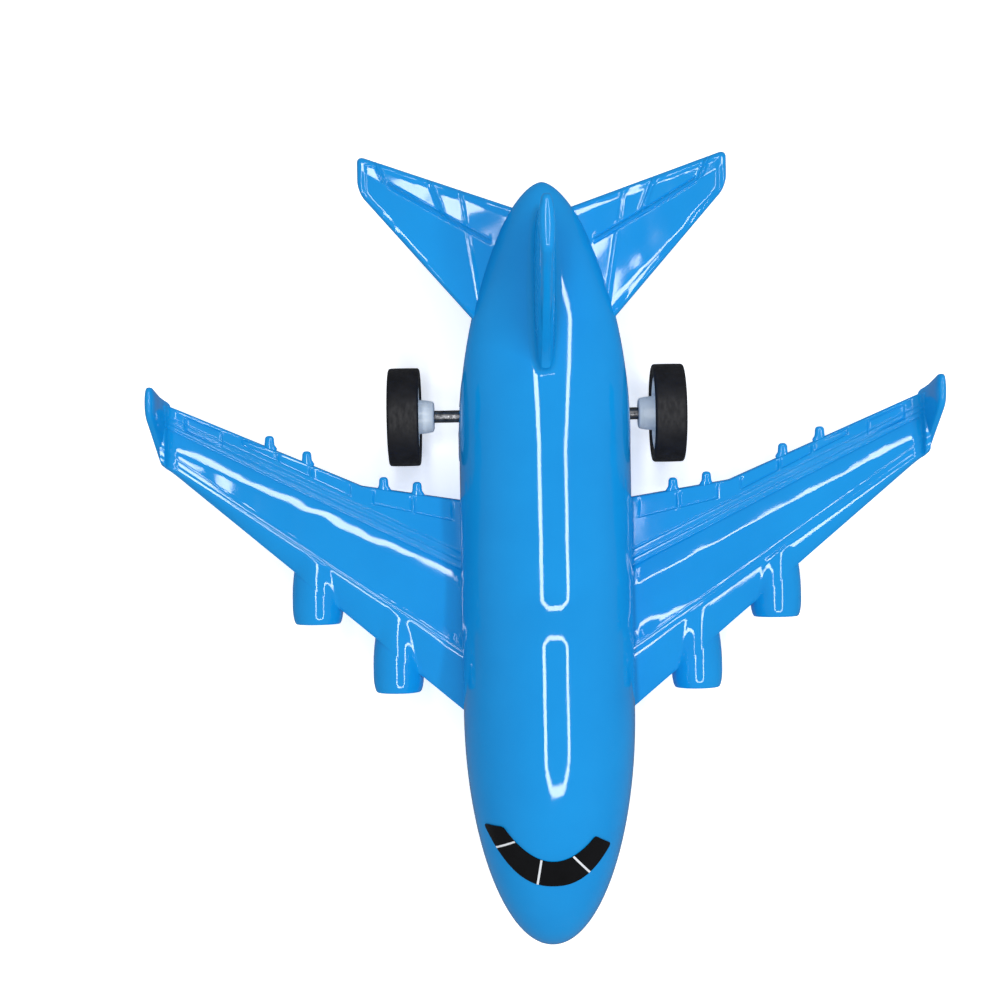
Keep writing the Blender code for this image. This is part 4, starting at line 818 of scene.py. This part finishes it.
def soft_ramp(t, soft):
    """0 below t = 0 and t above it, up to 1, with both bends rounded over +-soft / 2."""
    def bend(v):
        if v < -soft / 2:
            return 0.0
        return (v + soft / 2) ** 2 / (2 * soft) if v < soft / 2 else v
    return bend(t) - bend(t - 1)


def flap_mask(x, y):
    """1 on a flap or on the panel at the tip, 0 off them, and between at their edges."""
    te = wing_te(x)
    mask = 0.0
    for low, high in FLAPS:
        across = smooth((x - low) / 0.7 + 0.5) * smooth((high - x) / 0.7 + 0.5)
        front = te - flap_depth(x)
        along = smooth((y - front) / 0.7 + 0.5) * smooth((te - 0.7 - y) / 0.4 + 0.5)
        mask = max(mask, across * along)
    low, high = TIP_PANEL
    across = smooth((x - low) / 0.6 + 0.5) * smooth((high - x) / 0.6 + 0.5)
    along = smooth((y - te + 4.4) / 0.6 + 0.5) * smooth((te - 1.2 - y) / 0.5 + 0.5)
    return max(mask, across * along)


def wing_bottom(x, y):
    """The underside: rounded at the edges, with bays between ribs."""
    le, te = wing_le(x), wing_te(x)
    low, thick = wing_low(x), wing_thick(x)
    edge = low + TE_SHARE * thick
    t = clamp((y - le) / 1.2)
    z = mix(edge, low, math.sqrt(1 - (1 - t) ** 2))
    back = clamp((te - y) / EDGE_ROUND)
    z = mix(low + TE_SHARE * thick, z, math.sqrt(1 - (1 - back) ** 2))
    for start, end in zip(BAYS, BAYS[1:]):
        across = smooth((x - start - RIB_HALF) / 0.5) * smooth((end - RIB_HALF - x) / 0.5)
        along = smooth((y - le - BAY_FRONT) / 0.6) * smooth((te - BAY_REAR - y) / 0.6)
        share = across * along * pylon_free(x, y)
        if share > 0:
            z = mix(z, max(z, wing_top(x, y) - BAY_SKIN), share)
    return z


def pylon_free(x, y):
    """0 over an engine, where the wing is solid, and 1 away from it."""
    free = 1.0
    for which, centre in NACELLES.items():
        end = wing_le(centre) - NACELLE_REACH[which] + NACELLE_LENGTH
        beside = smooth((abs(x - centre) - PYLON_HALF) / 0.6)
        free = min(free, max(beside, smooth((y - end - 0.4) / 0.8)))
    return free


def wing_xs():
    """x places along the wing, clustered at the flaps, bays, engines and winglet."""
    xs = {20.1 + 0.75 * i for i in range(96)}
    for low, high in (*FLAPS, TIP_PANEL):
        xs |= {edge + d for edge in (low, high) for d in (-0.35, -0.17, 0.0, 0.17, 0.35)}
    for start in BAYS:
        xs |= {start + d for d in (-1.1, -0.85, -0.6, 0.6, 0.85, 1.1)}
    for centre in NACELLES.values():
        xs |= {centre + NACELLE_R * math.sin(math.radians(a)) for a in range(-90, 91, 6)}
    xs |= {SWEEP_X + TIP_SWEEP * math.sin(math.radians(a)) for a in range(0, 91, 12)}
    end = WING_X[1] - WINGLET_THICK / 2
    xs |= {WING_X[1] - WINGLET_THICK, end}
    ordered = []
    for x in sorted(x for x in xs if x <= end):
        if not ordered or x - ordered[-1] > 0.08:
            ordered.append(x)
    return ordered


def nacelle_ring():
    """Half of the engine's wall as a closed (radius, y) outline: lip, barrel, tail and intake."""
    end, r = NACELLE_LENGTH, NACELLE_R
    points = []
    for a in [math.pi / 2 * i / 14 for i in range(15)]:
        points.append((LIP_R + (r - LIP_R) * math.sin(a), LIP_LENGTH * (1 - math.cos(a))))
    for share in (0.21, 0.27, 0.35, 0.45, 0.55, 0.65, 0.72, 0.8, 0.88, 0.95, 1.0):
        back = clamp((share - 0.25) / 0.75)
        points.append((mix(r, 2.4, back ** 1.9), end * share))
    points.append((0.0, end))
    points += [(0.0, INTAKE_DEPTH), (INTAKE_R * 0.45, INTAKE_DEPTH - 0.8), (INTAKE_R, INTAKE_DEPTH)]
    for a in [math.pi / 2 * i / 4 for i in range(4)]:
        points.append((INTAKE_R + (LIP_R - INTAKE_R) * (1 - math.cos(a)), 0.4 * (1 - math.sin(a))))
    return points


def add_nacelle(work, which, upper):
    x = NACELLES[which]
    centre = (x, wing_le(x) - NACELLE_REACH[which], wing_low(x) - NACELLE_DROP)
    gap = math.asin(SEAM_GAP / 2 / NACELLE_R)
    start = gap if upper else math.pi + gap
    add_turned(work, nacelle_ring(), centre, "Y", 48, start, math.pi - 2 * gap)


def add_winglet(work):
    rings = []
    low = wing_low(WING_X[1])
    top = low + WINGLET_HEIGHT + WING_THICK[1]
    shares = [0.0, 0.12, 0.3, 0.5, 0.7, 0.85]
    shares += [0.85 + 0.15 * math.sin(math.radians(a)) for a in (20, 40, 60, 75, 90)]
    for t in shares:
        z = mix(low - 0.1, top, t)
        front = mix(WING_LE[1] - 0.4, WINGLET_TOP_Y[0], t)
        back = mix(WING_TE[2], WINGLET_TOP_Y[1], t)
        # The top is rounded over, and the inner side flares out to the wing.
        over = clamp((t - 0.85) / 0.15)
        round_off = math.sqrt(1 - over ** 2) if over < 1 else 0.0
        half = WINGLET_THICK / 2 * mix(0.12, 1.0, round_off)
        pull = 1.6 * (1 - round_off)
        middle = WING_X[1] - WINGLET_THICK / 2 + 0.25 + 0.6 * t
        ring = []
        for i in range(28):
            a = 2 * math.pi * i / 28
            along = (1 - math.cos(a)) / 2
            side = math.copysign(abs(math.sin(a)) ** 0.5, math.sin(a))
            flare = 1.6 * (1 - clamp(t / 0.4)) ** 2 if side < 0 else 0.0
            x = middle + half * side + flare * side
            ring.append((x, mix(front + pull, back - pull, along), z))
        rings.append(ring)
    add_loft(work, rings)


def add_fairing(work, x):
    """A small pod behind the trailing edge, wider where it meets the wing."""
    te = wing_te(x)
    z = wing_top(x, te - 1.4) - 1.05
    rings = []
    for along, wide, tall in FAIRING:
        ring = []
        for i in range(28):
            a = 2 * math.pi * i / 28
            c, d = math.cos(a), math.sin(a)
            px = math.copysign(abs(c) ** 0.8, c) * wide
            ring.append((x + px, te + along, z + math.copysign(abs(d) ** 0.8, d) * tall))
        rings.append(ring)
    add_loft(work, rings)


def build_wing(side):
    work = bmesh.new()
    add_blade(work, wing_xs(), wing_rows, wing_top, wing_bottom)
    for which in NACELLES:
        add_nacelle(work, which, True)
    add_winglet(work)
    for x in FAIRING_XS:
        add_fairing(work, x)
    name = "right" if side > 0 else "left"
    mirror(work, side)
    new_piece(f"wing_moulding_{name}", work, "fuselage", [BLUE], [f"wing_{name}"])


def mirror(work, side):
    if side < 0:
        bmesh.ops.transform(work, matrix=Matrix.Diagonal((-1, 1, 1, 1)), verts=work.verts)


def build_cowl(which, side):
    work = bmesh.new()
    add_nacelle(work, which, False)
    mirror(work, side)
    name = f"{which}_{'right' if side > 0 else 'left'}"
    node = f"engine_cowl_{name}"
    new_piece(f"cowl_moulding_{name}", work, "fuselage", [BLUE], [node])


# ==== tailplane
def tp_share(x):
    return (x - TP_X[0]) / (TP_X[1] - TP_X[0])


def tp_edges(x):
    """y of the leading and trailing edges, with the tip's corners rounded off."""
    front, back = mix(*TP_LE, tp_share(x)), mix(*TP_TE, tp_share(x))
    over = clamp((x - TP_X[1] + TP_TIP_ROUND) / TP_TIP_ROUND)
    pull = TP_TIP_ROUND * (1 - math.sqrt(1 - over * over)) if over < 1 else TP_TIP_ROUND
    return front + 1.6 * pull, back - pull


def tp_rows(x):
    front, back = tp_edges(x)
    length = back - front
    ys = [front + length * s for s in (0, 0.004, 0.012, 0.025, 0.04)]
    hinge = tp_hinge(x)
    ys += [mix(front + 0.06 * length, hinge - 0.6, i / 10) for i in range(11)]
    ys += [hinge + d for d in (-0.4, -0.2, 0.0, 0.2, 0.4, 0.6, 0.8, 1.0, 1.2, 1.4)]
    ys += [mix(hinge + 1.6, back - 0.06 * length, i / 8) for i in range(9)]
    ys += [back - length * s for s in (0.035, 0.02, 0.01, 0.003, 0)]
    return sorted(clamp(y, front, back) for y in ys)


def tp_hinge(x):
    front, back = tp_edges(x)
    return mix(front, back, mix(*TP_HINGE, tp_share(x)))


def double_groove(distance, ridge):
    """Two grooves 1.2 mm apart, with a ridge between them."""
    between = ridge * bump_at(distance - 0.6, 0.3)
    return bump_at(distance, 0.35) - between + bump_at(distance - 1.2, 0.35)


def tp_top(x, y):
    """The tailplane's upper skin: a rim round a wavy recess, with elevators that fall to the rear."""
    front, back = tp_edges(x)
    thick = mix(*TP_THICK, tp_share(x))
    low = TAIL_END_Z - thick / 2 + TP_SLOPE * max(0.0, x - TP_X[0])
    edge = min(clamp((y - front) / 1.3), clamp((back - y) / 1.1))
    z = low + thick * mix(TP_EDGE_SHARE, 1.0, math.sqrt(1 - (1 - edge) ** 2))
    rim = min(y - front - 1.5, back - 1.3 - y, TP_X[1] - 1.8 - x)
    z -= TP_SINK * smooth(rim / 0.5)
    hinge = tp_hinge(x)
    if TP_HINGE_X[0] < x < TP_HINGE_X[1]:
        z -= TP_GROOVE * double_groove(y - hinge, 1.0)
    z += TP_WAVE * noise.noise(Vector((x * 0.13, y * 0.13, 8.0)))
    if y > hinge:
        z -= TP_FALL * (y - hinge)
        slant = 0.5 * (y - hinge)
        for place in TP_DIVIDERS:
            z -= TP_GROOVE * double_groove(x - place - slant, 0.6)
    # A low rib beside the body.
    z += 0.2 * bump_at(x - 15.2 - 0.16 * (y - 62.0), 0.5)
    over = clamp((x - TP_X[1] + 1.0) / 1.0)
    return mix(z, low + TP_EDGE_SHARE * thick, 1 - math.sqrt(1 - over * over))


def tp_bottom(x, y):
    front, back = tp_edges(x)
    thick = mix(*TP_THICK, tp_share(x))
    low = TAIL_END_Z - thick / 2 + TP_SLOPE * max(0.0, x - TP_X[0])
    edge = min(clamp((y - front) / 0.8), clamp((back - y) / 0.8))
    z = low + thick * mix(TP_EDGE_SHARE, 0.0, math.sqrt(1 - (1 - edge) ** 2))
    over = clamp((x - TP_X[1] + 1.0) / 1.0)
    return mix(z, low + TP_EDGE_SHARE * thick, 1 - math.sqrt(1 - over * over))


def build_tailplane():
    work = bmesh.new()
    xs = [4.0 + 0.3 * i for i in range(124)]
    for a in (0, 15, 30, 45, 60, 72, 82, 90):
        xs.append(TP_X[1] - TP_TIP_ROUND + TP_TIP_ROUND * math.sin(math.radians(a)))
    add_blade(work, sorted(xs), tp_rows, tp_top, tp_bottom)
    other = work.copy()
    mirror(other, -1)
    mesh = bpy.data.meshes.new("half")
    other.to_mesh(mesh)
    other.free()
    work.from_mesh(mesh)
    bpy.data.meshes.remove(mesh)
    new_piece("tailplane_moulding", work, "fuselage", [BLUE], ["tailplane"])


# ==== cockpit print
def decal_point(near, far, t, shift, lift):
    """A point on a straight line across the window band, moved sideways by shift and lifted."""
    start = Vector((DECAL_HALF[0] * near, DECAL_Y[0] + DECAL_SWEEP[0] * near ** 2))
    end = Vector((DECAL_HALF[1] * far, DECAL_Y[1] + DECAL_SWEEP[1] * abs(far) ** 2.4))
    side = (start - end).normalized()
    x, y = start.lerp(end, t) + Vector((side.y, -side.x)) * shift
    return Vector((x, y, surface_z(x, y))) + surface_normal(x, y) * lift


def build_decal():
    """The window band: a thin curved solid, with its white bars as narrow strips of its own mesh."""
    work = bmesh.new()
    low, high = DECAL_SPAN
    guides = [(low, low), (low + CORNER, low + CORNER), *DIVIDERS]
    guides += [(high - CORNER, high - CORNER), (high, high)]
    # Columns across the band: where each meets its near and far edges, and whether it is a bar.
    columns = []
    for n, (start, end) in enumerate(zip(guides, guides[1:])):
        count = 5 if n in (0, len(guides) - 2) else 16
        for i in range(count):
            near, far = (mix(a, b, i / count) for a, b in zip(start, end))
            columns.append((near, far, i == 0 and start in DIVIDERS))
    columns.append((high, high, False))
    rows = 9
    lines = []
    for near, far, is_bar in columns:
        # The corners at both ends are rounded.
        middle = (near + far) / 2
        over = max(low + CORNER - middle, middle - high + CORNER, 0.0) / CORNER
        pinch = 0.10 * (1 - math.sqrt(max(0.0, 1 - over * over)))
        shares = [mix(pinch, 1 - pinch, k / rows) for k in range(rows + 1)]
        for shift in ((-DIVIDER_HALF, DIVIDER_HALF) if is_bar else (0.0,)):
            lines.append(([(near, far, t, shift) for t in shares], is_bar and shift < 0))
    sheets = []
    for lift in (DECAL_GAP, DECAL_GAP + DECAL_THICK):
        sheet = []
        for line, _ in lines:
            sheet.append([work.verts.new(decal_point(*place, lift)) for place in line])
        sheets.append(sheet)
    below, above = sheets
    for i in range(len(lines) - 1):
        for j in range(rows):
            for sheet in sheets:
                corners = (sheet[i][j], sheet[i + 1][j], sheet[i + 1][j + 1], sheet[i][j + 1])
                work.faces.new(corners).material_index = int(lines[i][1] and sheet is above)
        for j in (0, rows):
            work.faces.new((below[i][j], below[i + 1][j], above[i + 1][j], above[i][j]))
    for i in (0, -1):
        for j in range(rows):
            work.faces.new((below[i][j], below[i][j + 1], above[i][j + 1], above[i][j]))
    new_piece("cockpit_print", work, "fuselage", [PRINT, WHITE_PRINT], ["cockpit_decal"])


# ==== wheels, axles and motor
def tyre_profile():
    """A tyre's closed (radius, offset) outline: crowned tread, shouldered sides, open middle."""
    half, r, shoulder = TYRE_WIDTH / 2 - 0.2, TYRE_R, 3.2
    tread = [(r - 0.05 * (h / half) ** 2, h) for h in [-3.1, -2.3, -1.5, -0.75, 0, 0.75, 1.5, 2.3, 3.1]]
    right = []
    for a in [math.pi / 2 * i / 5 for i in range(1, 6)]:
        right.append((r - 0.65 + 0.6 * math.cos(a), shoulder + (half - shoulder) * math.sin(a)))
    for radius, drop in ((10.55, 0), (10.35, 0.22), (10.1, 0.25), (9.7, 0.12), (9.45, 0.2), (9.12, 0.5)):
        right.append((radius, half - drop))
    left = [(p, -h) for p, h in reversed(right)]
    return tread + right + left


def hub_profile(side):
    """A hub's closed (radius, offset) outline: rim, web, cap and long boss; +offset is outboard."""
    half = 3.3
    outline = [
        (0.0, 2.7, 0), (2.9, 2.7, 1), (3.2, 2.4, 0.5), (3.9, 1.5, 1), (7.6, 1.5, 1), (7.8, half, 1),
        (9.08, half, 1), (9.08, -half, 1), (7.8, -half, 1), (7.6, -0.7, 1), (5.0, -0.7, 1),
        (4.5, -1.3, 0.8), (4.2, -half, 0.3), (4.05, -5.3, 0.3), (3.72, -7.0, 0.8), (3.2, -7.28, 0.5),
        (1.7, -7.28, 0.4), (1.6, -6.8, 0), (1.6, 1.3, 0), (0.0, 1.3, 0),
    ]
    return [(r, side * h) for r, h in rounded(outline, 0.35)]


def build_wheel(name, side):
    x = AXLE_OFFSET + side * WHEEL_X
    centre = (x, WHEEL_Y, WHEEL_Z)
    work = bmesh.new()
    add_turned(work, tyre_profile(), centre, "X", 144)
    new_piece(f"tyre_skin_{name}", work, "drive_axle", [RUBBER], [f"tyre_{name}"])
    work = bmesh.new()
    add_turned(work, hub_profile(side), centre, "X", 96)
    # Six ribs on the web.
    for i in range(6):
        angle = math.pi / 3 * i + 0.2
        c, s = math.cos(angle), math.sin(angle)
        rings = []
        for r, top in ((3.9, 2.1), (7.75, 2.3)):
            ring = []
            for across, h in ((-0.45, 1.0), (0.45, 1.0), (0.38, top), (-0.38, top)):
                ring.append((x + side * h, WHEEL_Y + r * c - across * s, WHEEL_Z + r * s + across * c))
            rings.append(ring)
        add_loft(work, rings)
    node = f"hub_{name}"
    new_piece(f"hub_detail_{name}", work, "drive_axle", [GREY], [node], sharp=35.0)


def build_axle():
    """A steel rod with fine straight knurls where the hubs and the gear are pressed on."""
    work = bmesh.new()
    end = WHEEL_X + 1.2
    half = [8.8, 9.0, 26.8, 27.0, end - 0.31, end - 0.3, end]
    stops = [-h for h in reversed(half)] + half
    rings = []
    for h in stops:
        knurled = 27.0 <= abs(h) < end - 0.3 or 8.85 > abs(h)
        ring = []
        for i in range(72):
            a = 2 * math.pi * i / 72
            r = AXLE_R - (0.3 if abs(h) == end else 0.0)
            if knurled and i % 3 == 0:
                r -= 0.12
            ring.append((AXLE_OFFSET + h, WHEEL_Y + r * math.cos(a), WHEEL_Z + r * math.sin(a)))
        rings.append(ring)
    add_loft(work, rings)
    new_piece("axle_rod", work, "drive_axle", [STEEL], ["drive_axle"])


def build_nose_wheel(name, side):
    work = bmesh.new()
    outline = [
        (1.0, 0, 0), (2.4, 0, 1), (2.6, 0.5, 1), (4.0, 0.5, 1), (4.3, 0.1, 1), (6.0, 0.1, 1),
        (6.0, 3.1, 1), (4.3, 3.1, 1), (4.1, 2.4, 1), (2.7, 2.4, 1), (2.4, 3.2, 1), (1.0, 3.2, 0),
    ]
    profile = [(r, side * h) for r, h in rounded(outline, 0.4)]
    add_turned(work, profile, (side * 4.1, NOSE_WHEEL_Y, NOSE_WHEEL_R), "X", 72)
    node = f"nose_wheel_{name}"
    new_piece(f"nose_roller_{name}", work, "nose_wheels", [BLACK], [node])


build_upper()
build_lower()
for sign in (-1, 1):
    build_wing(sign)
    for which in NACELLES:
        build_cowl(which, sign)
build_tailplane()
build_decal()
for name, sign in (("left", -1), ("right", 1)):
    build_wheel(name, sign)
    build_nose_wheel(name, sign)
build_axle()

# The CAD nodes that stay get their materials here.
for node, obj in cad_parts.items():
    if node in ("gear_case_left", "gear_case_right"):
        obj.material_slots[0].material = BLACK
    elif node in ("axle_gear", "idler_gear", "flywheel_pinion"):
        obj.material_slots[0].material = ACETAL
    elif "screw" in node or node in ("flywheel", "flywheel_shaft", "idler_pin", "nose_axle"):
        obj.material_slots[0].material = STEEL


# ==== floor, light and camera
FLOOR = material(
    "pale_floor", ((0.90, 0.90, 0.90), (0.91, 0.91, 0.91)), (0.55, 0.6), [(40.0, 1.0, EVEN, 0.00001)],
    Emission_Color=(1, 1, 1, 1), Emission_Strength=0.5,
)
floor_mesh = bpy.data.meshes.new("floor")
corners = [(x * FLOOR_HALF * MM, y * FLOOR_HALF * MM, 0.0) for x, y in ((-1, -1), (1, -1), (1, 1), (-1, 1))]
floor_mesh.from_pydata(corners, [], [(0, 1, 2, 3)])
floor_mesh.materials.append(FLOOR)
floor_obj = add_object("floor", floor_mesh)
floor_obj.visible_glossy = False    # glossy sides mirror the room's quiet lower half instead


def add_strip(name, low, high, turn=0.0):
    """A flat light of the ring between two corners, facing down and turned by degrees."""
    width, depth = high[0] - low[0], high[1] - low[1]
    light = bpy.data.lights.new(name, "AREA")
    light.shape = "RECTANGLE"
    light.size, light.size_y = width * MM, depth * MM
    light.energy = width * depth * RING_POWER
    obj = add_object(name, light)
    obj.location = ((low[0] + high[0]) / 2 * MM, (low[1] + high[1]) / 2 * MM, RING_Z * MM)
    obj.rotation_euler = (0, 0, math.radians(turn))
    obj.visible_camera = False


# A large ring of light strips, whose reflection is the thin double line on the crowns.
(x0, x1), (y0, y1) = RING_X, RING_Y
cut, half_strip = CORNER_CUT, STRIP / 2
add_strip("ring_left", (x0, y0 + cut), (x0 + STRIP, y1 - cut))
add_strip("ring_right", (x1 - STRIP, y0 + cut), (x1, y1 - cut))
add_strip("ring_front", (x0 + cut, y0), (x1 - cut, y0 + STRIP))
add_strip("ring_back", (x0 + cut, y1 - STRIP), (x1 - cut, y1))
reach, inset = (cut - half_strip) * math.sqrt(2), (cut + half_strip) / 2
for name, x, y, turn in (
    ("ring_corner_1", x0 + inset, y0 + inset, -45), ("ring_corner_2", x1 - inset, y0 + inset, 45),
    ("ring_corner_3", x0 + inset, y1 - inset, 45), ("ring_corner_4", x1 - inset, y1 - inset, -45),
):
    low, high = (x - reach / 2, y - half_strip), (x + reach / 2, y + half_strip)
    add_strip(name, low, high, turn)

# A quiet room, dimmer below the horizon, so that the ring does the lighting.
world = bpy.data.worlds.new("pale_room")
world.use_nodes = True
tree = world.node_tree
direction = tree.nodes.new("ShaderNodeTexCoord")
split = tree.nodes.new("ShaderNodeSeparateXYZ")
tree.links.new(direction.outputs["Generated"], split.inputs["Vector"])
background = tree.nodes["Background"]
background.inputs["Color"].default_value = (0.95, 0.98, 1.0, 1)
tree.links.new(ramp(tree, split.outputs["Z"], -0.3, 0.3, 0.16, 0.30), background.inputs["Strength"])
bpy.context.scene.world = world

camera_data = bpy.data.cameras.new("camera")
camera_data.lens, camera_data.sensor_width = CAMERA_LENS, 36.0
camera_data.clip_start, camera_data.clip_end = 0.01, 100.0
camera = add_object("camera", camera_data)
camera.location = [place * MM for place in CAMERA_AT]
camera.rotation_euler = (0.0, 0.0, math.radians(CAMERA_TURN))
bpy.context.scene.camera = camera
bpy.context.scene.view_settings.view_transform = "Standard"
